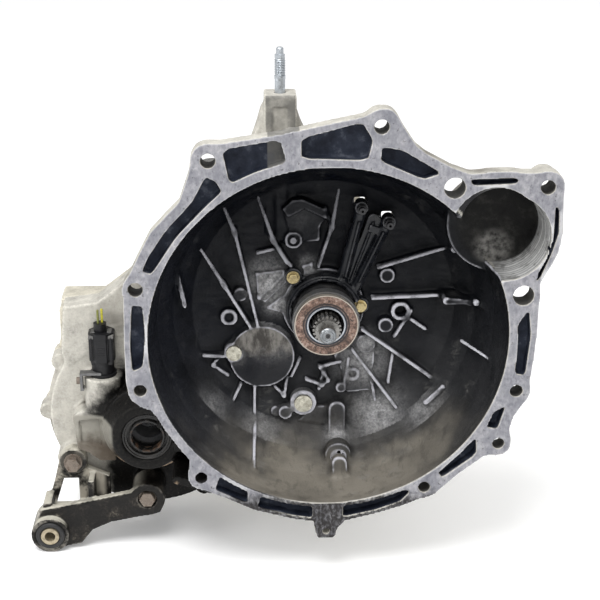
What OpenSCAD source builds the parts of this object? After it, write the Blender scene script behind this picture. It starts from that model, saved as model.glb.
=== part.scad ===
// Five-speed two-shaft transverse manual transmission with a round bell mouth.
// Frame: millimetres, origin on the input-shaft axis at the engine mounting face (y = 0).
// -Y leaves the face towards the engine, +Y runs into the gear case, +Z is up.

/* [Bell housing] */
// Inside radius of the clutch bell mouth
mouth_r = 158; // [140:1:175]
// Wall thickness of the bell and the case
wall = 5; // [4:0.5:8]
// Thickness of the engine mounting flange
flange_t = 16; // [12:0.5:18]
// Depth of the bell floor behind the engine face
floor_y = 95; // [85:1:105]
// Engine bolt hole diameter
engine_hole_d = 12.5; // [10.5:0.5:14]
// Dowel hole diameter at the two large flange holes
dowel_hole_d = 18; // [14:0.5:20]

/* [Gear case] */
// Depth of the joint between bell housing and gear case
joint_y = 125; // [118:1:132]
// Depth of the rear face of the gear case
case_end_y = 355; // [350:1:362]
// Thickness of the end cover
cover_t = 9; // [7:0.5:14]

/* [Gears] */
// Distance between input and output shafts
shaft_c = 75; // [75:75]
// Distance between output shaft and differential
final_c = 125; // [125:125]
// Module of the speed gears
m_gear = 2; // [2:2]
// Module of the final drive
m_final = 2.5; // [2.5:2.5]
// Thinning of every tooth, which leaves the running backlash
thin = 0.5; // [0.4:0.02:0.6]
// Travel of a selector sleeve from neutral
shift = 7; // [5:0.5:7]

/* [Clutch release] */
// Depth of the release bearing face behind the engine face
release_y = 41.5; // [36:0.5:48]
// Outside radius of the release bearing
release_r = 29; // [26:0.5:31]

/* [Mountings] */
// Height of the top of the mount post
post_z = 199; // [185:1:205]
// Thread diameter of the top stud
stud_d = 10; // [8:1:12]
// Outside radius of the lower bracket's bush boss
bush_r = 18; // [16:0.5:22]

/* [Hidden] */
$fn = 96;
e = 0.01;
OUT = [shaft_c*cos(219.59), shaft_c*sin(219.59)];
DIF = OUT + final_c*[cos(210.4), sin(210.4)];
RAIL = OUT + 72*[cos(129.6), sin(129.6)];
// idler sits 46 mm from the input axis and 73 mm from the output axis
ida = (shaft_c*shaft_c + 46*46 - 73*73)/(2*shaft_c);
idh = sqrt(46*46 - ida*ida);
IDL = OUT/shaft_c*ida + idh*[-OUT[1], OUT[0]]/shaft_c*1;
SEL = [-104, 62];
pocket_y = flange_t - 4; // depth of the pockets in the mounting flange
STARTER = [151, 94]; // centre of the starter pocket beside the mouth
SENSOR = [-207, 88]; // axis of the speed sensor, x and y
PIPES = [[33, 100], [58, 86]]; // upper ends of the two hydraulic pipes
// angles of the stiffening ribs behind the flange, clear of the bolt holes
RIM_RIBS = [90, 111, 135, 149, 178, 209, 244, 257, 270, 284, 313];
// ribs on the bell floor, from and to
FLOOR_RIBS = [[[45,9],[124,12]],[[36,-22],[103,-72]],[[27,-42],[80,-117]],[[50,39],[119,60]],[[-61,-18],[-82,78]],
  [[-66,-22],[-93,26]],[[-34,45],[-47,68]],[[-5,41],[7,79]],[[-65,-78],[-66,-125]],[[-78,-76],[-95,-112]],
  [[-94,-47],[-112,-46]]];
grey = [0.62,0.63,0.64]; dark = [0.16,0.16,0.17]; steel = [0.72,0.72,0.73]; cream = [0.72,0.69,0.6];
zinc = [0.75,0.7,0.45]; brass = [0.75,0.6,0.3]; black = [0.08,0.08,0.09]; rusty = [0.5,0.4,0.36];

// name: [x, z, hole diameter, land radius, land depth]
HOLES = [[-102,164.6,engine_hole_d,13,24],[42.3,192.2,engine_hole_d,14,24],[105,139,dowel_hole_d,14.5,24],
  [184,138.8,engine_hole_d,13,30],[168.6,41.5,dowel_hole_d,13.5,24],[167,-48.9,engine_hole_d-1,11.5,24],
  [153.5,-100.5,engine_hole_d-2,10,20],[87.7,-143.5,engine_hole_d-2,9,25],[-114.5,-129.5,engine_hole_d-2,10.5,20],
  [-166,-42.5,engine_hole_d-1.5,9.5,20],[-166.5,52,engine_hole_d,10.5,22]];

OUTLINE = [[-127,129],[-119,152],[-114.6,170],[-111,176],[-105,178.5],[-91,179.5],[-39.5,187],[0,195.5],[30,201.5],
  [39,205.5],[46,207],[50.5,205.8],[54,202],[63,188.3],[71.3,176],[80,169],[97.5,159.5],[110.6,152],[119,151],
  [135,152.8],[151,153.2],[164,151.6],[183,151.4],[191.5,149.8],[196,145],[198.3,121.5],[199,98],[196,80.5],
  [188.7,65],[182.5,53],[182,46],[182.4,35],[182.6,10],[181.5,-13.6],[179,-37.4],[178,-52],[174,-61],[166,-74],
  [163,-86],[164.5,-97],[162.5,-107],[156,-111],[141.4,-112.5],[116.5,-132],[98,-150],[88,-153.5],[68,-162],
  [42,-170],[15.6,-176.5],[9,-184],[7,-192],[5,-194],[-8,-194],[-10,-192],[-12,-185],[-13,-176.5],[-32,-173.5],
  [-67,-163.5],[-89,-152.5],[-103,-146.5],[-114,-141],[-122,-137],[-125.5,-130],[-126,-124],
  [-124.5,-111],[-134,-98],[-144.5,-82],[-153,-67],[-158,-61.5],[-167,-58],[-174,-51],
  [-178.3,-34],[-178.3,0],[-177.6,19],[-177.5,40],
  [-175.5,57],[-168,72],[-160,88],[-152,103],[-138,118]];

// shallow pockets in the mounting flange, between its inner and outer lips
POCKETS = [[[-104,151],[-96,147],[-91,138],[-104,126],[-130,99],[-152,66],[-160,68],[-155,80],[-139,104],[-116,129]],
  [[-90,174],[-42,182],[-37,163],[-62,155],[-84,145]], [[-24,183],[26,196],[35,181],[31,164],[-24,166]],
  [[43,175],[60,172],[93,152],[78,147],[42,163]], [[118,146.5],[158,147],[158,142.5],[120,141]],
  [[187,122],[193,120],[194,98],[184,60],[177,52],[177,60],[187,92]],
  [[174,28],[177,5],[174,-34],[165,-32],[166,-6],[165,15]], [[158,-64],[148,-69],[142,-84],[152,-86]],
  [[133,-94],[120,-109],[107,-122],[100,-129],[104,-134],[134,-111]], [[75,-148],[66,-158],[42,-166.5],[14,-172.5],[14,-161],[33,-158.2],[52,-152.9],[70,-145.7]],
  [[-14,-173],[-32,-170],[-64,-160.5],[-61,-149.8],[-50,-153.8],[-38,-157.2],[-26,-159.6],[-14,-161]], [[-74,-155.5],[-88,-149],[-102,-142],[-98,-129],[-85,-137.8],[-73,-144.6]],
  [[-170,38],[-161,36],[-160,8],[-163,-20],[-172,-24],[-173,0]]];

module yc(r, y0, y1, p=[0,0], f=96) { translate([p[0],y1,p[1]]) rotate([90,0,0]) cylinder(r=r, h=y1-y0, $fn=f); }
module ycone(r0, r1, y0, y1, p=[0,0]) { translate([p[0],y1,p[1]]) rotate([90,0,0]) cylinder(r1=r1, r2=r0, h=y1-y0); }
module py(y0, y1) { translate([0,y1,0]) rotate([90,0,0]) linear_extrude(y1-y0) children(); }
module yrev(pts, p=[0,0]) { translate([p[0],0,p[1]]) rotate([-90,0,0]) rotate_extrude() polygon(pts); }
module bar2(a, b, w) { d = b-a; translate(a) rotate(atan2(d[1],d[0])) translate([0,-w/2]) square([norm(d), w]); }
module c2(r, p) { translate(p) circle(r); }
module hexh(af, y0, y1, p) { yc(af/sqrt(3), y0, y1, p, 6); }

// ---------- gear tooth outline, involute of 20 degrees ----------
function inv(r, rb) = let (a = acos(min(1, rb/r))) tan(a)*180/PI - a;
function tooth(N, m, th, r, s) = let (rp = N*m/2, rb = rp*cos(20),
  h = (PI*m/2 - th)/(2*rp)*180/PI, a = h + inv(rp, rb) - inv(max(r, rb), rb)) s*a;
function gpts(N, m, th, ph) = let (rp = N*m/2, rr = rp - 1.22*m, ra = rp + 0.9*m, rb = rp*cos(20),
  rs = [max(rr, rb) + 0.05, rp, (rp+ra)/2, ra])
  [for (i=[0:N-1]) for (k=[0:9]) let (c = ph + i*360/N, r = k==0||k==9 ? rr : k<5 ? rs[k-1] : rs[8-k],
    a = tooth(N, m, th, k==0||k==9 ? rs[0] : r, k<5 ? -1 : 1)) r*[cos(c+a), sin(c+a)]];
module gear(N, m, y0, y1, p, ph) { py(y0, y1) translate(p) polygon(gpts(N, m, thin, ph)); }
function mate(fi, aA, NA, NB) = fi + 180 - (aA - fi)*NA/NB + 180/NB;
fiO = 219.59; fiD = 210.4;
fiI = atan2(IDL[1], IDL[0]);
fiR = atan2(OUT[1]-IDL[1], OUT[0]-IDL[0]);
phR = mate(fiI, 0, 15, 31);
module splines(n, r0, r1, w, y0, y1, p=[0,0]) {
  py(y0, y1) translate(p) union() { circle(r0, $fn=48); for (i=[0:n-1]) rotate(i*360/n) translate([0,-w/2]) square([r1,w]); }
}

// ---------- outlines of the case ----------
function sup(c, a) = let (v = [for (q=c) q[0]*cos(a)+q[1]*sin(a)+q[2]], m = max(v),
  k = [for (i=[0:len(c)-1]) if (v[i] == m) i][0]) [c[k][0]+c[k][2]*cos(a), c[k][1]+c[k][2]*sin(a)];
LOBES = [[0,0,56], [OUT[0],OUT[1],68], [IDL[0],IDL[1],43], [RAIL[0],RAIL[1],18], [-102,32,32]];
module main2(o=0) { polygon([for (a=[0:6:359]) sup([for (q=LOBES) [q[0],q[1],q[2]+o]], a)]); }
module diff2(o=0) { c2(95+o, DIF); }
module lobe2(o=0) { union() { main2(o); diff2(o); } }
module web2() polygon([[-100,66],[-134,58],[-177,29],[-211,3],[-243,-1],[-247,-46],[-243,-62],[-200,-30],[-130,-30]]);
CASE_B = [[-112,66],[-47,64],[6.2,59.2],[51.5,29.7],[61.6,-43.5],[41.7,-81.6],[-13,-110],[-116.4,-196.4],
  [-165.6,-209.5],[-214.9,-196.4],[-250,-162],[-264.1,-111],[-250,-60],[-222,-12],[-168,24]];
COVER_B = [[14.5,54.1],[54.1,14.5],[55.5,-58.2],[36.6,-80.7],[-69.6,-114.8],[-109.9,-91.5],[-132,10],[-112,62],[-45,60]];

module clutch_housing() color(grey) {
  difference() {
    union() {
      difference() {
        union() {
          py(0, flange_t) difference() { polygon(OUTLINE); circle(mouth_r, $fn=160); }
          for (h=HOLES) yc(h[3], flange_t-e, h[4], [h[0],h[1]], 48);
          yc(9, flange_t-e, 26, [-32,178], 48);
          for (a=RIM_RIBS) py(flange_t-2, 60) bar2(158*[cos(a),sin(a)], 174*[cos(a),sin(a)], 5);
          yrev([[158,0],[158,14],[152,44],[139,72],[122,90],[108,95],[20,95],[20,106],[112,106],[128,99],[147,77],
            [158,50],[165,14],[165,0]]);
          py(100, joint_y) union() { lobe2(); web2(); }
          py(joint_y-13, joint_y) union() { lobe2(4); web2(); }
          for (b=CASE_B) yc(8.5, joint_y-17, joint_y, b, 32);
          difference() { yc(45, 0, 54, STARTER); yc(38, -1, 46, STARTER); yc(mouth_r, -1, 44); }
          ycone(32, 42, 45, 68, DIF); yc(42, 68, 100, DIF);
          py(14, 100) bar2([-131,-106], DIF+[14,8], 9);
          py(14, 100) union() { bar2([-84,-141], [-108,-148], 8); bar2([-106,-148], DIF+[28,-28], 8); }
          translate([-39-14.5,107-14.5,70]) cube([29,29,post_z-70]);
          translate([-72,100,112]) rotate([0,14,0]) cube([8,14,72]);
          translate([-44,90,110]) cube([10,34,60]);
          yc(15, 90, 104, DIF+[-3,-71], 48); yc(13, 92, 104, DIF+[-74,-41], 48);
          translate([SENSOR[0],SENSOR[1],-98]) cylinder(r=18, h=34, $fn=64);
          translate([SENSOR[0]-18,SENSOR[1],-98]) cube([36,13,34]);
        }
        py(106, joint_y+1) union() { main2(-6); diff2(-6); }
      }
      yc(38, 88, 104); yc(31.5, 88, 119); yc(31, 84, 106, OUT); yc(11, 100, 118, RAIL, 48);
      yc(12.5, 84, 97, [-19,-96], 48); yc(9, 83.5, 97, [-84,-43], 48);
      yc(12, 58, 84, [13,-139], 48); yc(6.5, 86, 97, [-77,14], 32); yc(7, 86, 97, [28,-68], 32);
      yc(7, 84, 97, [58,-18], 32); yc(7, 84, 97, [-28,67], 32); yc(9, 86, 97, [72,-5], 32);
      for (q=FLOOR_RIBS) py(84, 97) bar2(q[0], q[1], 4);
      py(80, 97) bar2([13,-102], [13,-132], 16);
    }
    for (h=HOLES) yc(h[2]/2, -1, h[4]+1, [h[0],h[1]], 48);
    yc(3.2, -1, flange_t+1, [-1.5,-187], 32);
    yc(26.02, 102, 120); yc(21.02, 92, 103); yc(15, 80, 100);
    yc(26.02, 89, 107, OUT);
    yc(27, 13, 45, DIF); yc(23.02, 40, 57, DIF); yc(20.5, 56, 80, DIF); yc(34.02, 76, 107, DIF);
    yc(7.02, 106, 119, RAIL, 48);
    for (b=CASE_B) yc(3.3, joint_y-9, joint_y+1, b, 24);
    yc(38, -1, 46, STARTER);
    for (q=POCKETS) py(-1, pocket_y) polygon(q);
    for (q=PIPES) translate([q[0]-5,80,q[1]-4]) cube([10,60,8]);
    yc(7.27, 80, 88.6, [-84,-43], 48); yc(8.52, 80, 92, [-19,-96], 48);
    yc(6, 80, 98, [72,-5], 32); yc(6, 50, 66, [13,-139], 32);
    for (q=SLV_B) yc(2.5, 82, 100, q, 24);
    translate([-39,107,post_z-34]) cylinder(r=stud_d/2-0.3, h=40, $fn=32);
    for (b=BR_B) yc(4.2, 80, 103, b, 32);
    translate([SENSOR[0],SENSOR[1],-92]) cylinder(r=9.02, h=60, $fn=48);
    translate([SENSOR[0],SENSOR[1],-64]) cylinder(r=13, h=60, $fn=48);
  }
}
SLV_B = [[-28.5,33],[33.5,4],[-7,-36]];
BR_B = [DIF+[-3,-71], DIF+[-74,-41]];

module gear_case() color(cream) {
  difference() {
    union() {
      difference() {
        union() {
          py(joint_y, 137) union() { main2(4); web2(); }
          yrev([[0,125],[99,125],[99,137],[95,137],[95,155],[57,173],[42,173],[42,208],[0,208]], DIF);
          for (b=CASE_B) yc(8.5, joint_y, 139, b, 32);
          py(joint_y, case_end_y) main2();
          py(case_end_y-20, case_end_y) main2(5);
          for (q=COVER_B) yc(7.5, case_end_y-20, case_end_y, q, 32);
          for (y=[190,225,260,295]) py(y, y+5) main2(4);
          translate([-248,126,-46]) cube([50,34,45]);
          yc(9, 126, 150, [-243,-50], 48);
          translate([40,212,-30]) rotate([0,90,0]) cylinder(r=14, h=23, $fn=48);
          translate([DIF[0]+30,147,DIF[1]-98]) cylinder(r=13, h=14, $fn=48);
        }
        py(joint_y-1, 334) main2(-wall);
        yrev([[0,124],[90,124],[90,150],[52,168],[0,168]], DIF);
      }
      translate([-104,236,50]) cylinder(r=19, h=32, $fn=64);
      translate([-62,180,48]) cylinder(r=12, h=20, $fn=48);
      translate([-30,308,50]) cylinder(r=8, h=14, $fn=32);
    }
    yrev([[0,167],[34.02,167],[34.02,186],[20.5,186],[20.5,197],[23.02,197],[23.02,209],[0,209]], DIF);
    yc(26.02, 337, 360); yc(26.02, 337, 360, OUT); yc(8.02, 330, 350, IDL, 48);
    yc(15, 330, 340); yc(16, 330, 340, OUT);
    yc(7.02, 330, 349, RAIL, 48);
    for (b=CASE_B) { yc(4.2, joint_y-1, 141, b, 24); yc(6.6, 139, b[0] == -222 ? 162 : 151, b, 32); }
    yc(4.5, 120, 151, [-243,-50], 32);
    translate([-104,236,45]) cylinder(r=10.05, h=40, $fn=48);
    translate([-62,180,40]) cylinder(r=7.02, h=30, $fn=48);
    translate([-30,308,40]) cylinder(r=4.02, h=30, $fn=32);
    translate([30,212,-30]) rotate([0,90,0]) cylinder(r=9.02, h=40, $fn=48);
    translate([DIF[0]+30,147,DIF[1]-105]) cylinder(r=8.02, h=30, $fn=48);
    for (q=COVER_B) yc(3.3, case_end_y-16, case_end_y+1, q, 24);
  }
}

module end_cover() color(cream) difference() {
  union() {
    py(case_end_y, case_end_y+4) main2(5);
    py(case_end_y+3.9, case_end_y+cover_t) main2(-3);
    for (q=COVER_B) yc(7, case_end_y, case_end_y+7, q, 32);
    for (q=[[[0,0],OUT],[[0,0],IDL],[OUT,RAIL]]) py(case_end_y+cover_t-1, case_end_y+cover_t+3) bar2(q[0], q[1], 6);
  }
  yc(27, case_end_y-1, case_end_y+4); yc(27, case_end_y-1, case_end_y+4, OUT);
  for (q=COVER_B) { yc(3.6, case_end_y-1, case_end_y+12, q, 24); yc(6.8, case_end_y+7, case_end_y+14, q, 32); }
}
module hexbolt(af, hh, r, len, y1, p) { hexh(af, y1, y1+hh, p); yc(r, y1-len, y1+e, p, 24); yc(af*0.62, y1-1.2, y1+e, p, 32); }
module case_bolts() color(steel) { for (b=CASE_B) hexbolt(10, 6, 3.25, 22, 140.2, b);
  for (b=COVER_B) hexbolt(10, 6, 3.25, 22, case_end_y+8.2, b); }

// ---------- mountings ----------
module mount_stud() color(zinc) translate([-39,107,0]) {
  translate([0,0,post_z-32]) cylinder(r=stud_d/2-0.32, h=32+12, $fn=32);
  translate([0,0,post_z+12-e]) cylinder(r=stud_d/2, h=22, $fn=32);
  translate([0,0,post_z+34-2*e]) cylinder(r1=stud_d/2, r2=3.4, h=2, $fn=32);
  translate([0,0,post_z+36-3*e]) cylinder(r=3.3, h=4, $fn=32);
}
BUSH = [-262,-216];
module mount_bracket() color(dark) difference() {
  union() {
    py(58, 66) polygon([[-270,-192],[-160,-170],[-152,-182],[-157,-196],[-178,-201],[-204,-206],[-222,-214],[-233,-228],
      [-262,-234],[-279,-222]]);
    yc(16, 58, 89.7, BR_B[0], 48); yc(bush_r, 52, 88, BUSH, 64);
    translate([-266,64,-200]) cube([100,25.5,6]);
    py(84, 91.7) polygon([[-271,-214],[-258,-170],[-252,-146],[-240,-138],[-228,-146],[-228,-160],[-206,-170],[-206,-198],[-250,-206]]);
    yc(13, 80, 91.7, BR_B[1], 48);
    translate([-225,64,-199]) cube([6,22,34]);
    translate([-268,60,-205]) cube([8,26,20]);
  }
  py(80, 92) polygon([[-259,-200],[-250,-172],[-236,-172],[-236,-200]]);
  yc(14.02, 50, 90, BUSH, 64);
  for (b=BR_B) yc(4.6, 50, 95, b, 32);
  yc(9, 50, 79, BR_B[1], 48); yc(9, 57, 64, BR_B[0], 48);
}
module bracket_bolts() color(steel) {
  hexbolt2(13, 8, 4.15, 100.5, 64, BR_B[0]); hexbolt2(13, 8, 4.15, 100.5, 79.5, BR_B[1]);
}
module hexbolt2(af, hh, r, y1, y0, p) { hexh(af, y0-hh, y0, p); yc(r, y0-e, y1, p, 24); yc(8.2, y0-1.5, y0, p, 32); }
module bush_rubber() color(black) difference() { yc(14, 53, 87, BUSH, 64); yc(8.5, 50, 90, BUSH, 48); }
module bush_sleeve() color(steel) difference() { yc(8.5, 50, 90, BUSH, 48); yc(5.05, 49, 91, BUSH, 32); }

// ---------- clutch release ----------
module slave_cylinder() color(black) difference() {
  union() {
    yc(35, 74, 87.8);
    for (q=SLV_B) { yc(8, 80, 87.8, q, 32); py(84.2, 87.8) bar2(q*0.6, q, 14); }
    for (q=[[[16,29],[33,97]],[[28,20],[57,84]]]) py(76, 87.8) bar2(q[0], q[1], 10);
    py(78, 83) bar2([20,24], [44,84], 5);
    for (q=PIPES) yc(5, 74, 87.8, q, 32);
    yc(15.4, 56, 87.8);
  }
  difference() { yc(30.4, 70, 84); yc(15.4, 50, 90); }
  yc(14, 50, 90);
  for (q=SLV_B) { yc(3.1, 70, 90, q, 24); yc(6.6, 70, 80.1, q, 32); }
  for (q=PIPES) yc(2.6, 73, 82, q, 24);
}
module slave_bolts() color(zinc) for (q=SLV_B) { hexh(8, 74.8, 79.8, q); yc(2.45, 79.7, 97, q, 24); yc(6, 78.6, 79.8, q, 32); }
module slave_unions() color(steel) for (q=PIPES) difference() { union() { yc(2.55, 73, 81, q, 24);
  hexh(8, 68, 73.8, q); yc(3.2, 63, 68.2, q, 24); } yc(1.2, 62, 82, q, 16); }
module slave_piston() color(dark) difference() { union() { yc(22, 57, 66); yc(24, 65.9, 72.5); } yc(15.47, 50, 80); yc(19, 70, 80); }
module release_boot() color(black) yrev(concat([for (k=[0:8]) [k%2 ? 27.2 : 25.7, 58+k*3.1]],
  [for (k=[8:-1:0]) [k%2 ? 26 : 24.5, 58+k*3.1]]));
module release_race_outer() color(dark) difference() { union() { yc(release_r+1.5, 47, 56.7); } yc(26.6, 46, 54.7); yc(19, 46, 60); }
module release_race_inner() color(rusty) difference() { union() { yc(release_r-0.2, release_y, 46.4); yc(19.8, 46, 54.2); } yc(16, 40, 56); }
module release_balls() color(steel) for (i=[0:13]) translate([23.2*cos(i*360/14),50.6,23.2*sin(i*360/14)]) sphere(r=3.05, $fn=16);

// ---------- shafts, gears and bearings ----------
module input_shaft() color(steel) {
  yc(7.5, 16.3, 27, [0,0], 48); yc(10.8, 26.9, 31, [0,0], 48); splines(20, 11.2, 12.9, 2.1, 31, 60);
  yc(12, 59.9, 102, [0,0], 64); yc(13, 101.9, 119, [0,0], 64); yc(14.5, 118.9, 140, [0,0], 64); yc(13, 139.9, 354, [0,0], 64);
  gear(17, m_gear, 140, 156, [0,0], 0); gear(24, m_gear, 188, 203, [0,0], 0); gear(15, m_gear, 320, 333, [0,0], 0);
}
module shaft_gear(N, y0, y1) difference() { gear(N, m_gear, y0, y1, [0,0], 0); yc(13, y0-1, y1+1, [0,0], 64);
  if (N > 35) { difference() { union() { yc(N-5, y0-1, y0+3); yc(N-5, y1-3, y1+1); } yc(19, y0-2, y1+2, [0,0], 64); } } }
module input_gear_third() color(steel) shaft_gear(31, 207, 222);
module input_gear_fourth() color(steel) shaft_gear(37, 254, 269);
module input_gear_fifth() color(steel) shaft_gear(43, 273, 287.8);

module bearing(ri, ro, y0, y1, p, n) {
  rm = (ri+ro)/2; t = (ro-ri)*0.17; rb = (ro-ri)*0.27; yy = (y0+y1)/2;
  difference() { yc(ro, y0, y1, p, 64); yc(ro-t, y0-1, y1+1, p, 64); }
  difference() { yc(ri+t, y0, y1, p, 64); yc(ri, y0-1, y1+1, p, 64); }
  for (i=[0:n-1]) yc(rb, y0+2.5, y1-2.5, p+rm*[cos(i*360/n), sin(i*360/n)], 24);
}
module shaft_bearings() color(steel) for (p=[[0,0],OUT]) { bearing(13.02, 26, p[0] == 0 ? 103 : 89.5, p[0] == 0 ? 118 : 104.5, p, 10); bearing(13.02, 26, 339, 354, p, 10); }
module diff_bearings() color(steel) { bearing(20.02, 34, 77, 93, DIF, 12); bearing(20.02, 34, 168.5, 184.5, DIF, 12); }
module seal(ri, ro, y0, y1, p) difference() { yc(ro, y0, y1, p, 64); yc(ri+5, y0-1, y0+(y1-y0)*0.45, p, 64); yc(ri, y0-1, y1+1, p, 64); }
module oil_seals() color(black) { seal(12.06, 21, 93, 101.3, [0,0]); seal(14, 23, 48, 56, DIF);
  difference() { yc(23, 199.5, 207, DIF, 64); yc(19, 203, 208, DIF, 64); yc(14, 198, 208, DIF, 64); }
  translate([-104,236,82]) difference() { cylinder(r=14, h=4, $fn=48); translate([0,0,-1]) cylinder(r=10.06, h=6, $fn=48); } }

module output_shaft() color(steel) {
  yc(13, 89.5, 107.6, OUT, 64); gear(32, m_final, 107.5, 136.5, OUT, 0);
  yc(16, 136.4, 139.5, OUT, 64); yc(14, 139.4, 338, OUT, 64); yc(13, 337.9, 354, OUT, 64);
}
HUBS = [172, 238, 304];
module synchro_hubs() color(steel) for (y=HUBS) difference() {
  py(y-5.5, y+5.5) translate(OUT) union() { circle(32.6, $fn=96); for (i=[0:23]) rotate(i*15) translate([0,-1.5]) square([34.3,3]); }
  yc(14, y-6, y+6, OUT, 64);
  for (s=[0,1]) difference() { yc(28, s ? y+3 : y-6, s ? y+6 : y-3, OUT); yc(19, y-7, y+7, OUT); }
}
module sleeve(y) difference() {
  yc(42, y-8, y+8, OUT); yc(35, y-9, y+9, OUT);
  difference() { yc(43, y-3.4, y+3.4, OUT); yc(37.5, y-4, y+4, OUT); }
}
module sleeve_teeth(y) py(y-8, y+8) translate(OUT) for (i=[0:23]) rotate(7.5+i*15) translate([33.2,-1.5]) square([2.2,3]);
module sleeve_first_second() color(steel) { sleeve(172); sleeve_teeth(172); }
module sleeve_third_fourth() color(steel) { sleeve(238); sleeve_teeth(238); }
module sleeve_fifth_reverse() color(steel) { sleeve(304); sleeve_teeth(304); }
module synchro_rings() color(brass) for (y=HUBS, s=[-1,1]) difference() {
  yc(32.4, y+s*8-2, y+s*8+2, OUT); yc(24.2, y-14, y+14, OUT, 64);
}
module free_gear(N, y0, y1, s, ph) {
  yh = s > 0 ? y1 : y0;
  difference() {
    union() {
      gear(N, m_gear, y0, y1, OUT, ph);
      yc(32.5, s>0 ? yh-e : yh-5.4, s>0 ? yh+5.4 : yh+e, OUT);
      yc(23.6, s>0 ? yh : yh-9.6, s>0 ? yh+9.6 : yh, OUT, 64);
    }
    yc(14.05, y0-15, y1+15, OUT, 64);
    if (N > 45) for (i=[0:5]) yc((N-38)/3.2, y0-9, y1+9, OUT+(N/2+12.5)*[cos(30+i*60), sin(30+i*60)], 32);
  }
}
module gear_first() color(steel) free_gear(58, 140, 156, 1, mate(fiO, 0, 17, 58));
module gear_second() color(steel) free_gear(51, 188, 203, -1, mate(fiO, 0, 24, 51));
module gear_third() color(steel) free_gear(44, 207, 222, 1, mate(fiO, 0, 31, 44));
module gear_fourth() color(steel) free_gear(38, 254, 269, -1, mate(fiO, 0, 37, 38));
module gear_fifth() color(steel) free_gear(32, 273, 288, 1, mate(fiO, 0, 43, 32));
module gear_reverse() color(steel) free_gear(42, 320, 333, -1, mate(fiR, phR, 31, 42));
module reverse_idler() color(steel) difference() { union() { gear(31, m_gear, 319, 332.6, IDL, phR); yc(13, 317, 333, IDL, 48); }
  yc(8.05, 310, 340, IDL, 48); }
module idler_shaft() color(steel) { yc(8, 314, 349, IDL, 48); yc(10.5, 313, 316.5, IDL, 48); }

// ---------- selector ----------
module fork_rail() color(steel) yc(7, 107, 348.5, RAIL, 48);
module fork(y) difference() {
  union() {
    yc(11, y-8, y+8, RAIL, 48);
    py(y-3, y+3) difference() {
      union() { circle_at(51, OUT); polygon([for (a=[0:10:359]) sup([[RAIL[0],RAIL[1],11],[OUT[0]-14,OUT[1]+17,26]], a)]); }
      translate(OUT) rotate(-52) translate([4,-60]) square([70,120]);
    }
  }
  yc(7.06, y-20, y+20, RAIL, 48);
  yc(37.9, y-4, y+4, OUT);
}
module circle_at(r, p) { translate(p) circle(r); }
module gate(x0, x1, ya, yb, yc0) difference() {
  union() { translate([x0,ya,20.5]) cube([x1-x0,yb-ya,6]); translate([min(x0,-107),yc0-6,13]) cube([max(x1,-100)-min(x0,-107),12,13]); }
  translate([x0-1,231,23]) cube([x1-x0+2,10,10]);
  yc(7.06, yc0-20, yc0+20, RAIL, 48);
}
module fork_first_second() color(brass) union() { fork(172); gate(-121, -113, 166, 250, 172); }
module fork_third_fourth() color(brass) union() { fork(238); gate(-108, -99.5, 226, 250, 238); }
module fork_fifth_reverse() color(brass) union() { fork(304); gate(-94.5, -86.5, 222, 308, 304); }
module selector_shaft() color(steel) translate([-104,236,0]) {
  translate([0,0,34]) cylinder(r=10, h=68, $fn=48);
  translate([0,-4,29]) cube([15,8,9]); translate([0,0,29]) cylinder(r=9, h=6, $fn=48);
}
module selector_lever() color(zinc) translate([-104,236,0]) difference() {
  union() { translate([0,0,88]) cylinder(r=15, h=12, $fn=48); translate([0,-6,90]) cube([52,12,6]);
    translate([52,0,90]) cylinder(r=9, h=6, $fn=48); translate([52,0,95]) cylinder(r=5, h=10, $fn=32); }
  translate([0,0,80]) cylinder(r=10, h=30, $fn=48);
}

// ---------- differential ----------
fiDg = mate(fiD, 0, 32, 68);
module ring_gear() color(steel) difference() { gear(68, m_final, 109, 135, DIF, fiDg); yc(50, 108, 136, DIF);
  difference() { yc(74, 108, 116, DIF); yc(49, 107, 117, DIF); }
  for (i=[0:9]) yc(4.2, 110, 136, DIF+56*[cos(i*36), sin(i*36)], 24); }
module diff_case() color(dark) difference() {
  union() { yc(62, 135, 143, DIF); yc(49.9, 109, 143, DIF); yc(33, 97, 109.5, DIF); yc(44, 142, 156, DIF); ycone(44, 34, 156-e, 164, DIF);
    yc(20, 77, 97.5, DIF, 64); yc(20, 163.5, 184.5, DIF, 64); }
  yc(29, 106, 113, DIF); yc(38, 112.9, 152, DIF); yc(20, 100, 158, DIF, 64); yc(15, 70, 190, DIF, 64);
  for (i=[0:9]) yc(4.2, 130, 150, DIF+56*[cos(i*36), sin(i*36)], 24);
  translate([DIF[0]-60,129,DIF[1]]) rotate([0,90,0]) cylinder(r=8.02, h=120, $fn=48);
}
module ring_gear_bolts() color(steel) for (i=[0:9]) let (p = DIF+56*[cos(i*36), sin(i*36)]) { hexh(10, 143.1, 148.6, p); yc(4.1, 118, 143.2, p, 24); }
module bevel(n, r0, r1, h0, h1, rb, w) difference() {
  union() { translate([0,0,h0]) cylinder(r1=r0, r2=r1, h=h1-h0, $fn=64); translate([0,0,h1-e]) cylinder(r=r1-2, h=3, $fn=64);
    for (i=[0:n-1]) rotate([0,0,i*360/n]) translate([r0-1,0,h0]) rotate([0,atan2(r1-r0,h1-h0),0]) translate([0,-w/2,0])
      cube([2.4,w,norm([r1-r0,h1-h0])-1]); }
  translate([0,0,h0-3]) cylinder(r=rb, h=h1-h0+12, $fn=48);
}
module side_gear(s) translate([DIF[0],129,DIF[1]]) rotate([-90*s,0,0]) {
  bevel(16, 17.4, 27, 13.2, 19.2, 13, 2.6);
  translate([0,0,21.5]) difference() { cylinder(r=19.6, h=6.5, $fn=64); translate([0,0,-1]) cylinder(r=13, h=9, $fn=48); } }
module spider_gear(s) translate([DIF[0],129,DIF[1]]) rotate([0,90*s,0]) bevel(10, 8.9, 13.2, 21, 32, 8.05, 2.4);
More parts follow.
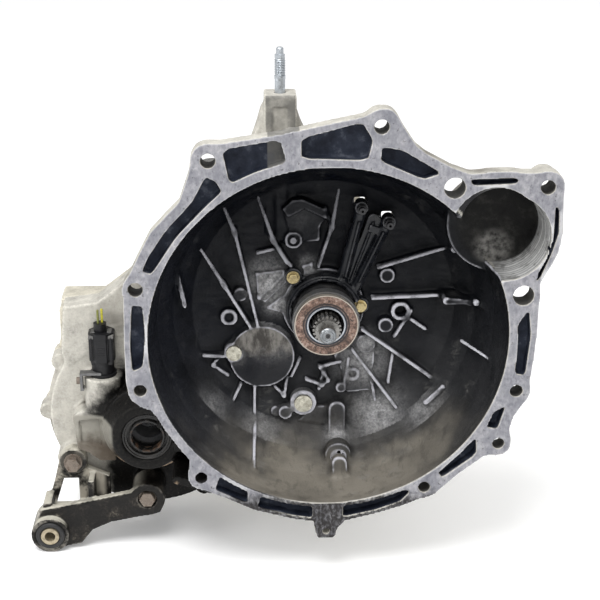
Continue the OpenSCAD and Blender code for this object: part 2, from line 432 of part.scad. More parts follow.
module side_gear_engine_side() color(steel) side_gear(-1);
module side_gear_case_side() color(steel) side_gear(1);
module spider_gear_inner() color(steel) spider_gear(1);
module spider_gear_outer() color(steel) spider_gear(-1);
module diff_pin() color(steel) translate([DIF[0]-48,129,DIF[1]]) rotate([0,90,0]) cylinder(r=8, h=96, $fn=48);

// ---------- sensor, plugs ----------
module speed_sensor() color(black) translate([-207,88,0]) { translate([0,0,-91]) cylinder(r=9, h=28, $fn=48);
  translate([0,0,-64]) cylinder(r=12.5, h=3, $fn=48); translate([0,0,-61.1]) cylinder(r=10.5, h=13, $fn=48);
  translate([0,0,-48.2]) rotate([0,0,22.5]) cylinder(r=12.8, h=28, $fn=8); translate([-1,0,-20.3]) cylinder(r=6, h=8, $fn=48); }
module sensor_clamp() color(dark) translate([-207,88,0]) difference() {
  union() { translate([-21,-12,-60.6]) cube([20,8,2.4]); translate([-21,-12,-76]) cube([2.4,8,17.8]);
    translate([-21,-12,-76]) cube([3.3,8,2.4]); }
  cylinder(r=10.9, h=200, center=true, $fn=48); translate([0,0,-64.2]) cylinder(r=12.8, h=3.4, $fn=48);
}
module clamp_screw() color(steel) translate([-224.5,80,-67]) rotate([0,90,0]) translate([0,0,-7]) cylinder(r=3.4, h=3.2, $fn=32);
module sensor_wires() color([0.6,0.62,0.2]) for (q=[[-209.5,87],[-206,89.5]]) translate([q[0],q[1],-12.2]) cylinder(r=1.1, h=13, $fn=16);
module core_plugs() color(steel) { yc(7.25, 81.5, 88.5, [-84,-43], 48); yc(8.5, 82, 91, [-19,-96], 48); }
module oil_plugs() color(steel) {
  translate([40,212,-30]) rotate([0,90,0]) { cylinder(r=9, h=23.2, $fn=48); translate([0,0,23.1]) cylinder(r=12, h=4, $fn=6); }
  translate([DIF[0]+30,147,DIF[1]-98]) { translate([0,0,-0.1]) cylinder(r=8, h=12, $fn=48); translate([0,0,-4]) cylinder(r=11, h=4, $fn=6); }
}
module breather() color(steel) translate([-30,308,54]) { cylinder(r=4, h=18, $fn=32); translate([0,0,17.9]) cylinder(r=7, h=8, $fn=32); }
module reverse_light_switch() color(zinc) translate([-62,180,50]) { cylinder(r=7, h=18.2, $fn=48); translate([0,0,18.1]) cylinder(r=12.7, h=7, $fn=6);
  translate([0,0,25]) cylinder(r=8, h=16, $fn=48); }

clutch_housing();
gear_case();
end_cover();
case_bolts();
mount_stud();
mount_bracket();
bracket_bolts();
bush_rubber();
bush_sleeve();
slave_cylinder();
slave_bolts();
slave_unions();
slave_piston();
release_boot();
release_race_outer();
release_race_inner();
release_balls();
input_shaft();
input_gear_third();
input_gear_fourth();
input_gear_fifth();
shaft_bearings();
diff_bearings();
oil_seals();
output_shaft();
synchro_hubs();
synchro_rings();
sleeve_first_second();
sleeve_third_fourth();
sleeve_fifth_reverse();
gear_first();
gear_second();
gear_third();
gear_fourth();
gear_fifth();
gear_reverse();
reverse_idler();
idler_shaft();
fork_rail();
fork_first_second();
fork_third_fourth();
fork_fifth_reverse();
selector_shaft();
selector_lever();
ring_gear();
diff_case();
ring_gear_bolts();
side_gear_engine_side();
side_gear_case_side();
spider_gear_inner();
spider_gear_outer();
diff_pin();
speed_sensor();
sensor_clamp();
clamp_screw();
sensor_wires();
core_plugs();
oil_plugs();
breather();
reverse_light_switch();
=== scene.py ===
import math

import bpy
import bmesh
import numpy as np
from mathutils import Matrix, Vector


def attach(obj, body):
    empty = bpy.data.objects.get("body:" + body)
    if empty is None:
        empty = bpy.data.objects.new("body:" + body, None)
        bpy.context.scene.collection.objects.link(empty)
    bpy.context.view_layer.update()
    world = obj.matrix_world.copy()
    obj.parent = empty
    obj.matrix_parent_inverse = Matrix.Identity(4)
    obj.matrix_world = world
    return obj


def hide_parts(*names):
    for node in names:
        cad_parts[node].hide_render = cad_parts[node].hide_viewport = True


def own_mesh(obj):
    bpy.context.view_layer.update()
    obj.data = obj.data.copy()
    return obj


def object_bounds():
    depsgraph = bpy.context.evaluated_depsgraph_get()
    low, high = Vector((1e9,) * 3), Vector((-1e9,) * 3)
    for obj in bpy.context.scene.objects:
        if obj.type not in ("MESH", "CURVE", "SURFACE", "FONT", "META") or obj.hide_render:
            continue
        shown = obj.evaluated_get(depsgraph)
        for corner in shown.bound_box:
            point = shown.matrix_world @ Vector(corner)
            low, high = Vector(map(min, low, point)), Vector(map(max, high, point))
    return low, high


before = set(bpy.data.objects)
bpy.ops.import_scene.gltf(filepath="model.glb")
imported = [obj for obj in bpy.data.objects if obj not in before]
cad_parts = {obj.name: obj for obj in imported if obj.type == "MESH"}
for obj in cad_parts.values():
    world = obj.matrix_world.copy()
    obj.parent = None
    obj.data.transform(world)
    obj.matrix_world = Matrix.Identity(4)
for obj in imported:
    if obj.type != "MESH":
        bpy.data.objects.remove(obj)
start_box = [list(v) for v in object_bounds()]
MM = 0.001


# ---------------------------------------------------------------- layout, mm, (x, z) pairs
def polar(r, deg, at=(0, 0)):
    """The point r from another, deg degrees round from x toward z."""
    return at[0] + r * math.cos(math.radians(deg)), at[1] + r * math.sin(math.radians(deg))


SHAFTS = 75                  # input shaft to output shaft
IDLER_IN, IDLER_OUT = 46, 73  # reverse idler to each of them
OUT = polar(SHAFTS, 219.59)
DIF = polar(125, 210.4, OUT)
RAIL = polar(72, 129.6, OUT)
_along = (SHAFTS**2 + IDLER_IN**2 - IDLER_OUT**2) / (2 * SHAFTS)
_aside = math.sqrt(IDLER_IN**2 - _along**2)
IDL = ((OUT[0] * _along - OUT[1] * _aside) / SHAFTS, (OUT[1] * _along + OUT[0] * _aside) / SHAFTS)
BUSH = (-262, -216)
BR = [(DIF[0] - 3, DIF[1] - 71), (DIF[0] - 74, DIF[1] - 41)]
HOLES = [(-102, 164.6, 12.5, 13, 24), (42.3, 192.2, 12.5, 14, 24), (105, 139, 18, 14.5, 24),
         (184, 138.8, 12.5, 13, 30), (168.6, 41.5, 18, 13.5, 24), (167, -48.9, 11.5, 11.5, 24),
         (153.5, -100.5, 10.5, 10, 20), (87.7, -143.5, 10.5, 9, 25), (-114.5, -129.5, 10.5, 10.5, 20),
         (-166, -42.5, 11, 9.5, 20), (-166.5, 52, 12.5, 10.5, 22)]
OUTLINE = [(-127, 129), (-119, 152), (-114.6, 170), (-111, 176), (-105, 178.5), (-91, 179.5), (-39.5, 187),
           (0, 195.5), (30, 201.5), (39, 205.5), (46, 207), (50.5, 205.8), (54, 202), (63, 188.3),
           (71.3, 176), (80, 169), (97.5, 159.5), (110.6, 152), (119, 151), (135, 152.8), (151, 153.2),
           (164, 151.6), (183, 151.4), (191.5, 149.8), (196, 145), (198.3, 121.5), (199, 98), (196, 80.5),
           (188.7, 65), (182.5, 53), (182, 46), (182.4, 35), (182.6, 10), (181.5, -13.6), (179, -37.4),
           (178, -52), (174, -61), (166, -74), (163, -86), (164.5, -97), (162.5, -107), (156, -111),
           (141.4, -112.5), (116.5, -132), (98, -150), (88, -153.5), (68, -162), (42, -170), (15.6, -176.5),
           (9, -184), (7, -192), (5, -194), (-8, -194), (-10, -192), (-12, -185), (-13, -176.5),
           (-32, -173.5), (-67, -163.5), (-89, -152.5), (-103, -146.5), (-114, -141), (-122, -137),
           (-125.5, -130), (-126, -124), (-124.5, -111), (-134, -98), (-144.5, -82), (-153, -67),
           (-158, -61.5), (-167, -58), (-174, -51), (-178.3, -34), (-178.3, 0), (-177.6, 19), (-177.5, 40),
           (-175.5, 57), (-168, 72), (-160, 88), (-152, 103), (-138, 118)]
POCKETS = [[(-104, 151), (-96, 147), (-91, 138), (-104, 126), (-130, 99), (-152, 66), (-160, 68), (-155, 80),
            (-139, 104), (-116, 129)],
           [(-90, 174), (-42, 182), (-37, 163), (-62, 155), (-84, 145)],
           [(-24, 183), (26, 196), (35, 181), (31, 164), (-24, 166)],
           [(43, 175), (60, 172), (93, 152), (78, 147), (42, 163)],
           [(118, 146.5), (158, 147), (158, 142.5), (120, 141)],
           [(191.5, 122), (194.5, 119), (195.5, 98), (191, 81), (186, 68), (182, 58), (179, 55), (180, 62),
            (187, 76), (191.5, 94)],
           [(174, 28), (177, 5), (174, -34), (165, -32), (166, -6), (165, 15)],
           [(158, -64), (148, -69), (142, -84), (152, -86)],
           [(133, -94), (120, -109), (107, -122), (100, -129), (104, -134), (134, -111)],
           [(75, -148), (66, -158), (42, -166.5), (14, -172.5), (14, -161), (33, -158.2), (52, -152.9),
            (70, -145.7)],
           [(-14, -173), (-32, -170), (-64, -160.5), (-61, -149.8), (-50, -153.8), (-38, -157.2),
            (-26, -159.6), (-14, -161)],
           [(-74, -155.5), (-88, -149), (-102, -142), (-98, -129), (-85, -137.8), (-73, -144.6)],
           [(-170, 38), (-161, 36), (-160, 8), (-163, -20), (-172, -24), (-173, 0)]]
WEB = [(-100, 66), (-134, 58), (-177, 29), (-211, 3), (-243, -1), (-247, -46), (-243, -62), (-200, -30),
       (-130, -30)]
CASE_B = [(-112, 66), (-47, 64), (6.2, 59.2), (51.5, 29.7), (61.6, -43.5), (41.7, -81.6), (-13, -110),
          (-116.4, -196.4), (-165.6, -209.5), (-214.9, -196.4), (-250, -162), (-264.1, -111), (-250, -60),
          (-222, -12), (-168, 24)]
COVER_B = [(14.5, 54.1), (54.1, 14.5), (55.5, -58.2), (36.6, -80.7), (-69.6, -114.8), (-109.9, -91.5),
           (-132, 10), (-112, 62), (-45, 60)]
FLANGE, POCKET = 16.0, 12.0
# radius of the bell mouth, face where housing and gear case meet, face under the end cover
BELL, SPLIT, CASE_END = 158, 125, 355
STARTER, SENSOR = (151, 94), (-207, 88)
# the starter bay's second centre, toward the upper dowel, and the depth that it reaches
BAY_UPPER, BAY_STEP = (141, 101), 30
PIPES = [(33, 100), (58, 86)]
RIM_RIBS = [90, 111, 135, 149, 178, 209, 244, 257, 270, 284, 313]
FLOOR_RIBS = [((45, 9), (124, 12)), ((36, -22), (103, -72)), ((27, -42), (80, -117)), ((50, 39), (119, 60)),
              ((-61, -18), (-82, 78)), ((-66, -22), (-93, 26)), ((-34, 45), (-47, 68)), ((-5, 41), (7, 79)),
              ((-65, -78), (-66, -125)), ((-78, -76), (-95, -112)), ((-94, -47), (-112, -46))]
SLV_B = [(-28.5, 33), (33.5, 4), (-7, -36)]
LOBES = [(0, 0, 56), (OUT[0], OUT[1], 68), (IDL[0], IDL[1], 43), (RAIL[0], RAIL[1], 18), (-102, 32, 32)]


def lobe(o=0):
    """Outline of the case round its shafts, a taut string round circles."""
    pts = []
    for k in range(72):
        t = 2 * math.pi * k / 72
        c = max(LOBES, key=lambda q: q[0] * math.cos(t) + q[1] * math.sin(t) + q[2])
        pts.append((c[0] + (c[2] + o) * math.cos(t), c[1] + (c[2] + o) * math.sin(t)))
    return pts


def chaikin(p, n=2, cut=0.25):
    """A closed outline with its corners cut n times."""
    p = np.array(p, float)
    for _ in range(n):
        q = np.roll(p, -1, 0)
        p = np.stack([p * (1 - cut) + q * cut, p * cut + q * (1 - cut)], 1).reshape(-1, 2)
    return p


# ---------------------------------------------------------------- volumes
CORNERS = [(dx, dy, dz) for dx in (0, 1) for dy in (0, 1) for dz in (0, 1)]


class Vox:
    """A signed distance field on a grid, in mm, negative inside the metal."""

    def __init__(s, lo, hi, h):
        s.h = h
        s.lo = np.array(lo, float)
        n = np.ceil((np.array(hi, float) - s.lo) / h).astype(int) + 1
        s.ax = [(s.lo[i] + h * np.arange(n[i])).astype(np.float32) for i in range(3)]
        s.F = np.full(n, 50.0, np.float32)

    def _win(s, lo, hi):
        sl = []
        for i in range(3):
            a = int(np.clip(np.floor((lo[i] - s.lo[i]) / s.h), 0, len(s.ax[i])))
            b = int(np.clip(np.ceil((hi[i] - s.lo[i]) / s.h) + 1, 0, len(s.ax[i])))
            sl.append(slice(a, b))
        X, Y, Z = (s.ax[i][sl[i]] for i in range(3))
        return tuple(sl), X[:, None, None], Y[None, :, None], Z[None, None, :]

    def _join(s, shape, k, sign):
        """Joins a shape (function, low, high), rounded over k mm, to the metal or, at -1, the space."""
        f, lo, hi = shape
        m = k + 2 * s.h
        sl, X, Y, Z = s._win([v - m for v in lo], [v + m for v in hi])
        if s.F[sl].size == 0:
            return
        a, b = sign * s.F[sl], f(X, Y, Z)
        r = np.minimum(a, b)
        if k:
            r = r - np.square(np.maximum(k - np.abs(a - b), 0)) / (4 * k)
        s.F[sl] = sign * r

    def add(s, shape, k=0.0):
        s._join(shape, k, 1)

    def cut(s, shape, k=0.0):
        s._join(shape, k, -1)

    def mesh(s, flat=()):
        """Naive surface nets. flat is a list of (axis, value) planes whose faces stay exactly flat."""
        F, h = s.F, s.h
        ins = F < 0
        c = ins[:-1, :-1, :-1].astype(np.int8)
        for dx, dy, dz in CORNERS[1:]:
            c += ins[dx:ins.shape[0] - 1 + dx, dy:ins.shape[1] - 1 + dy, dz:ins.shape[2] - 1 + dz]
        act = (c > 0) & (c < 8)
        idx = np.argwhere(act)
        vid = np.full(act.shape, -1, np.int32)
        vid[act] = np.arange(len(idx))
        vals = {}
        for dx, dy, dz in CORNERS:
            vals[dx, dy, dz] = F[idx[:, 0] + dx, idx[:, 1] + dy, idx[:, 2] + dz]
        P = np.zeros((len(idx), 3))
        N = np.zeros(len(idx))
        for ax in range(3):
            for u in (0, 1):
                for v in (0, 1):
                    a, b = [0, 0, 0], [0, 0, 0]
                    o = [i for i in range(3) if i != ax]
                    a[o[0]] = b[o[0]] = u
                    a[o[1]] = b[o[1]] = v
                    b[ax] = 1
                    fa, fb = vals[tuple(a)], vals[tuple(b)]
                    m = (fa < 0) != (fb < 0)
                    t = np.where(m, fa / np.where(fa == fb, 1, fa - fb), 0)
                    for i in range(3):
                        P[:, i] += np.where(m, t if i == ax else a[i], 0)
                    N += m
        P = P / N[:, None]
        P = s.lo + (idx + P) * h
        for axis, value in flat:
            near = np.abs(P[:, axis] - value) < 0.62 * h
            P[near, axis] = value
        quads = []
        for ax in range(3):
            sa = [slice(1, -1)] * 3
            sa[ax] = slice(0, -1)
            sb = list(sa)
            sb[ax] = slice(1, None)
            A, B = ins[tuple(sa)], ins[tuple(sb)]
            for flip, m in ((False, A & ~B), (True, ~A & B)):
                e = np.argwhere(m)
                for i in range(3):
                    if i != ax:
                        e[:, i] += 1
                o = [i for i in range(3) if i != ax]
                cs = []
                for u, v in ((-1, -1), (0, -1), (0, 0), (-1, 0)):
                    q = e.copy()
                    q[:, o[0]] += u
                    q[:, o[1]] += v
                    cs.append(vid[q[:, 0], q[:, 1], q[:, 2]])
                q = np.stack(cs, 1)
                if flip ^ (ax == 1):
                    q = q[:, ::-1]
                quads.append(q)
        Q = np.concatenate(quads)
        Q = Q[(Q >= 0).all(1)]
        return P, Q

    def occlusion(s, P, R):
        """Share of metal in a cube of half-size R mm round each point: high in corners, low on edges."""
        n = max(1, int(round(R / s.h)))
        V = np.clip(0.5 - s.F / s.h, 0, 1)
        for ax in range(3):
            pad = [(0, 0)] * 3
            pad[ax] = (n + 1, n)
            C = np.cumsum(np.pad(V, pad), axis=ax)
            hi = [slice(None)] * 3
            lo = [slice(None)] * 3
            hi[ax] = slice(2 * n + 1, None)
            lo[ax] = slice(0, -2 * n - 1)
            V = (C[tuple(hi)] - C[tuple(lo)]) / (2 * n + 1)
        g = np.clip((P - s.lo) / s.h, 0, np.array(V.shape) - 1.001)
        i = g.astype(int)
        t = g - i
        out = 0
        for corner in CORNERS:
            w = 1
            for ax, d in enumerate(corner):
                w = w * (t[:, ax] if d else 1 - t[:, ax])
            out = out + w * V[i[:, 0] + corner[0], i[:, 1] + corner[1], i[:, 2] + corner[2]]
        return out


def _slab(d2, Y, y0, y1):
    dy = np.abs(Y - (y0 + y1) / 2) - (y1 - y0) / 2
    return np.minimum(np.maximum(d2, dy), 0) + np.hypot(np.maximum(d2, 0), np.maximum(dy, 0))


def turned(axis, centre, r, t0, t1, r2=None):
    """Cylinder or cone from t0 to t1 along an axis; centre is its place on the other two."""
    others = [i for i in range(3) if i != axis]
    slope = 0 if r2 is None else (r2 - r) / (t1 - t0)
    wide = max(r, r2 or 0)
    lo, hi = [t0] * 3, [t1] * 3
    for i, c in zip(others, centre):
        lo[i], hi[i] = c - wide, c + wide

    def f(*p):
        q = np.hypot(*(p[i] - c for i, c in zip(others, centre)))
        d = (q - (r + slope * (p[axis] - t0))) / math.hypot(1, slope) if slope else q - r
        return _slab(d, p[axis], t0, t1)
    return f, lo, hi


def cyl(x, z, r, y0, y1, r2=None):
    return turned(1, (x, z), r, y0, y1, r2)


def vcyl(x, y, r, z0, z1):
    return turned(2, (x, y), r, z0, z1)


def xcyl(y, z, r, x0, x1):
    return turned(0, (y, z), r, x0, x1)


def bar(a, b, w, y0, y1, w2=None):
    """Rib standing along Y, from a to b in (x, z), half width w to w2."""
    a, b = np.array(a, float), np.array(b, float)
    d = b - a
    L2 = float(d @ d)
    ww = w if w2 is None else max(w, w2)

    def f(X, Y, Z):
        t = np.clip(((X - a[0]) * d[0] + (Z - a[1]) * d[1]) / L2, 0, 1)
        q = np.hypot(X - a[0] - t * d[0], Z - a[1] - t * d[1])
        return _slab(q - (w if w2 is None else w + (w2 - w) * t), Y, y0, y1)
    lo, hi = np.minimum(a, b) - ww, np.maximum(a, b) + ww
    return f, (lo[0], y0, lo[1]), (hi[0], y1, hi[1])


def rod(a, b, r, r2=None):
    """Round bar between two points in space."""
    a, b = np.array(a, float), np.array(b, float)
    d = b - a
    L2 = float(d @ d)
    rr = max(r, r2 or 0)

    def f(X, Y, Z):
        t = np.clip(((X - a[0]) * d[0] + (Y - a[1]) * d[1] + (Z - a[2]) * d[2]) / L2, 0, 1)
        q = np.sqrt((X - a[0] - t * d[0])**2 + (Y - a[1] - t * d[1])**2 + (Z - a[2] - t * d[2])**2)
        return q - (r if r2 is None else r + (r2 - r) * t)
    lo, hi = np.minimum(a, b) - rr, np.maximum(a, b) + rr
    return f, tuple(lo), tuple(hi)


def box(c, half, rnd=0.0, rot=None):
    """Box with rounded edges, rot is (axis index, degrees)."""
    c = np.array(c, float)
    M = np.eye(3)
    if rot:
        M = np.array(Matrix.Rotation(math.radians(-rot[1]), 3, "XYZ"[rot[0]]))
    R = float(np.linalg.norm(half)) if rot else None

    def f(X, Y, Z):
        p = [X - c[0], Y - c[1], Z - c[2]]
        q = [np.abs(M[i, 0] * p[0] + M[i, 1] * p[1] + M[i, 2] * p[2]) - half[i] + rnd for i in range(3)]
        inner = np.minimum(np.maximum(np.maximum(q[0], q[1]), q[2]), 0)
        return np.sqrt(sum(np.square(np.maximum(v, 0)) for v in q)) + inner - rnd
    e = [R] * 3 if rot else half
    return f, tuple(c - e), tuple(c + e)


def poly_distance(P, Xb, Zb):
    """Signed distance of points (x, z) to a closed polygon, negative inside."""
    P = np.array(P, float)
    d = np.full(Xb.shape, 1e9, np.float32)
    s = np.zeros(Xb.shape, bool)
    for a, b in zip(P, np.roll(P, -1, 0)):
        e = b - a
        wx, wz = Xb - a[0], Zb - a[1]
        t = np.clip((wx * e[0] + wz * e[1]) / max(1e-9, e @ e), 0, 1)
        d = np.minimum(d, (wx - e[0] * t)**2 + (wz - e[1] * t)**2)
        c = (a[1] <= Zb) != (b[1] <= Zb)
        if e[1]:
            s ^= c & (Xb < a[0] + (Zb - a[1]) * e[0] / e[1])
    return (np.sqrt(d) * np.where(s, -1, 1)).astype(np.float32)


def poly2(P, X, Z):
    """The same over a grid's X and Z axes."""
    Xb, Zb = np.broadcast_arrays(X.reshape(X.shape[0], 1), Z.reshape(1, Z.shape[-1]))
    return poly_distance(P, Xb, Zb)[:, None, :]


def prism(P, y0, y1):
    """A closed outline of (x, z) points drawn out from y0 to y1."""
    P = np.array(P, float)
    lo, hi = P.min(0), P.max(0)

    def f(X, Y, Z):
        return _slab(poly2(P, X, Z), Y, y0, y1)
    return f, (lo[0], y0, lo[1]), (hi[0], y1, hi[1])


def rev(P, cx=0.0, cz=0.0):
    """Solid of revolution about a line along Y: P is a closed polygon of (radius, y)."""
    P = np.array(P, float)
    rm, y0, y1 = P[:, 0].max(), P[:, 1].min(), P[:, 1].max()

    def f(X, Y, Z):
        r = np.hypot(X - cx, Z - cz)[:, 0, :]
        tab_r = np.arange(0, max(rm + 12, float(r.max()) + 1), 0.5, dtype=np.float32)
        T = poly2(P, tab_r, Y.reshape(-1))[:, 0, :]
        g = r / 0.5
        i = np.minimum(g.astype(int), len(tab_r) - 2)
        t = (g - i)[:, None, :]
        A = T[i].transpose(0, 2, 1)
        B = T[i + 1].transpose(0, 2, 1)
        return A * (1 - t) + B * t
    return f, (cx - rm, y0, cz - rm), (cx + rm, y1, cz + rm)


def grid_mesh(name, P, Q, attrs):
    """A mesh of points P and quads Q, with a named value for every point."""
    me = bpy.data.meshes.new(name)
    me.vertices.add(len(P))
    me.vertices.foreach_set("co", (P * MM).astype(np.float32).ravel())
    me.loops.add(Q.size)
    me.loops.foreach_set("vertex_index", Q.astype(np.int32).ravel())
    me.polygons.add(len(Q))
    me.polygons.foreach_set("loop_start", np.arange(0, Q.size, 4, dtype=np.int32))
    me.update(calc_edges=True)
    me.validate()
    me.polygons.foreach_set("use_smooth", np.ones(len(me.polygons), bool))
    me.set_sharp_from_angle(angle=math.radians(38))
    for k, v in attrs.items():
        at = me.attributes.new(k, "FLOAT", "POINT")
        if len(me.vertices) == len(v):
            at.data.foreach_set("value", v.astype(np.float32))
    ob = bpy.data.objects.new(name, me)
    bpy.context.scene.collection.objects.link(ob)
    return ob


def attributes(V, P, inside=False):
    """Masks for every vertex of a casting: corners, edges, machined faces, pockets, rubbed pads."""
    x, y, z = P.T
    r = np.hypot(x, z)
    out = {"occ": V.occlusion(P, 8.0), "edge": V.occlusion(P, max(2.6, 1.7 * V.h))}
    if inside:
        st = np.hypot(x - STARTER[0], z - STARTER[1])
        wall = np.interp(y, [0, 14, 44, 72, 90, 95], [BELL, BELL, 152, 139, 122, 108]) + 2.5
        st = np.where(y < BAY_STEP + 1, np.minimum(st, np.hypot(x - BAY_UPPER[0], z - BAY_UPPER[1])), st)
        bay = np.where((y > 42) & (r < 158.6), np.clip((41 - st) / 9, 0, 1),
                       (st < 40.6) & (r > 158.6)) * ((y > 0.9) & (y < 48))
        out["ins"] = np.where((r < wall) & (y > 0.9) & (y < 101), 1.0, 0.0)
        out["bay"] = bay.astype(float)
        hole = np.zeros(len(P))
        for hx, hz, d, *_ in HOLES:
            hole = np.maximum(hole, (np.hypot(x - hx, z - hz) < d / 2 + 0.35) & (y > 1.2))
        out["hole"] = hole.astype(float)
        out["mach"] = np.where((y < 0.7) & (r > 157), 1.0, 0.0)
        pk = np.zeros(len(P))
        for q in POCKETS:
            pk[poly_distance(q, x, z) < 1.5] = 1
        out["pock"] = np.where((y > 1.4) & (y < POCKET + 2) & (r > 158.7) & (st > 39.3), pk, 0.0)
        rub = np.zeros(len(P))
        for cx, cz, s, yy, a in RUBBED:
            rub = np.maximum(rub, a * np.exp(-((x - cx)**2 + (z - cz)**2) / (s * s)) * (np.abs(y - yy) < 9))
        out["rub"] = rub * out["ins"]
    return out


# centre x, z, radius, depth and strength of the patches rubbed pale inside the bell
RUBBED = [(-50, 24, 17, 88, 1.0), (-44, 3, 10, 89, 1.0), (-15, 39, 8, 86, 0.7), (-50, -28, 16, 84, 0.7),
          (-20, 84, 14, 86, 0.06), (38, -58, 20, 88, 0.75), (40, -37, 10, 86, 0.7), (52, -108, 20, 86, 0.8),
          (13, -128, 10, 80, 0.8), (-19, -96, 13, 84, 0.6), (28, -70, 8, 86, 0.7), (-84, -43, 9, 84, 0.5),
          (-112, -98, 16, 76, 0.5), (96, -100, 18, 72, 0.4), (-60, -120, 18, 80, 0.35)]

# ribs that run on up the wall of the bell: (x, y, z) to (x, y, z) and radius
WALL_RIBS = [((80, 86, -117), (87, 56, -130), 2.2), ((103, 86, -72), (131, 66, -84), 2.0),
             ((118, 85, 12), (148, 56, 9), 2.6), ((118, 86, 60), (134, 62, 68), 2.2),
             ((-65, 86, -110), (-67, 34, -138), 2.0), ((-92, 86, -106), (-103, 48, -121), 2.0),
             ((-81, 86, 74), (-90, 60, 106), 2.2), ((-92, 86, 24), (-112, 76, 62), 2.0),
             ((-46, 86, 66), (-60, 72, 112), 2.0), ((7, 86, 78), (12, 72, 118), 2.0),
             ((128, 74, -30), (148, 40, -34), 1.6)]


def strip(V, pts, w, y0, y1):
    """A rib along a run of points."""
    for a, b in zip(pts, pts[1:]):
        V.add(bar(a, b, w, y0, y1), k=2.5)


def bell_wall(V):
    """Flange, bolt bosses, bell wall and the web toward the case."""
    V.add(prism(OUTLINE, 0, FLANGE))
    V.cut(cyl(0, 0, BELL, -8, FLANGE + 4))
    for x, z, _, r, dep in HOLES:
        V.add(cyl(x, z, r, 0, dep), k=5)
    V.add(cyl(-32, 178, 9, 2, 26), k=4)
    for a in RIM_RIBS:
        c, s = math.cos(math.radians(a)), math.sin(math.radians(a))
        V.add(bar((BELL * c, BELL * s), (173 * c, 173 * s), 2.6, 14, 60), k=4)
    V.add(rev([(BELL, 0), (BELL, 14), (152, 44), (139, 72), (122, 90), (108, 95), (0, 95), (0, 106),
               (112, 106), (128, 99), (147, 77), (158, 50), (165, 14), (165, 0)]), k=4)
    V.cut(cyl(0, 0, BELL, -6, 14))
    for o, y0 in ((0, 100), (4, 113)):
        V.add(prism(lobe(o), y0, SPLIT), k=2)
        V.add(cyl(*DIF, 95 + o, y0, SPLIT), k=2)
        V.add(prism(WEB, y0, SPLIT), k=3)
    for b in CASE_B:
        V.add(cyl(*b, 8.5, 108, SPLIT), k=4)


def bay_walls(V):
    """Starter bay, a closed stepped pocket beside the mouth."""
    V.add(cyl(*STARTER, 45, 0, 54), k=4)
    V.add(cyl(*BAY_UPPER, 42.5, 0, BAY_STEP + 5), k=3)
    V.cut(rev([(0, -6), (157.8, -6), (157.8, 14), (151.6, 45.6), (0, 45.6)]))
    for r, y in ((38.4, 8), (37.6, 17), (36.8, BAY_STEP), (36, 46)):
        V.cut(cyl(*STARTER, r, -6, y), k=0.6)
        if y <= BAY_STEP:
            V.cut(cyl(*BAY_UPPER, r - 0.4, -6, y), k=0.6)
    V.add(cyl(*STARTER, 44.5, 53, 86, 34), k=5)


def output_tower(V):
    """Tower of the differential's output and its struts."""
    V.add(cyl(*DIF, 32, 45, 68, 42), k=3)
    V.add(cyl(*DIF, 42, 68, 101), k=4)
    V.add(bar((-131, -106), (DIF[0] + 14, DIF[1] + 8), 4.5, 14, 100), k=4)
    V.add(bar((-84, -141), (-108, -148), 4, 14, 100), k=4)
    V.add(bar((-106, -148), (DIF[0] + 28, DIF[1] - 28), 4, 14, 100), k=4)
    V.add(prism([(-237, -103), (-229, -97), (-203, -96), (-198, -104), (-198, -150), (-213, -150),
                 (-224, -141), (-234, -137)], 77, 103), k=4)
    V.cut(prism([(-231, -108), (-212, -106), (-211, -134), (-230, -130)], 70, 80), k=2)
    V.add(cyl(-202, -111, 6.5, 72, 100), k=3)


def mount_post(V):
    """Post on top that carries the mount stud."""
    V.add(box((-39, 107, 134.5), (14.5, 14.5, 64.5), 1.5), k=1)
    V.add(prism([(-54, 180), (-24, 180), (-16, 163), (-12, 112), (-72, 112), (-64, 160)], 97, 117), k=5)
    V.add(rod((-72, 107, 112), (-52, 107, 184), 5), k=5)
    V.add(box((-39, 107, 112), (5, 17, 48), 2), k=5)
    V.cut(box((-39, 91.5, 176), (7, 2.2, 12), 1), k=1.5)


def outer_bosses(V):
    """Bosses for the bracket and the speed sensor, and the hollow toward the gear case."""
    V.add(cyl(*BR[0], 15, 90, 104), k=4)
    V.add(cyl(*BR[1], 13, 92, 104), k=4)
    V.add(vcyl(*SENSOR, 18, -98, -64), k=2)
    V.add(box((SENSOR[0], 94.5, -81), (18, 7, 17), 2), k=3)
    V.add(vcyl(*SENSOR, 15, -104, -97), k=4)
    # hollow toward the gear case
    V.cut(prism(lobe(-6), 106, 132), k=1)
    V.cut(cyl(*DIF, 89, 106, 132), k=1)


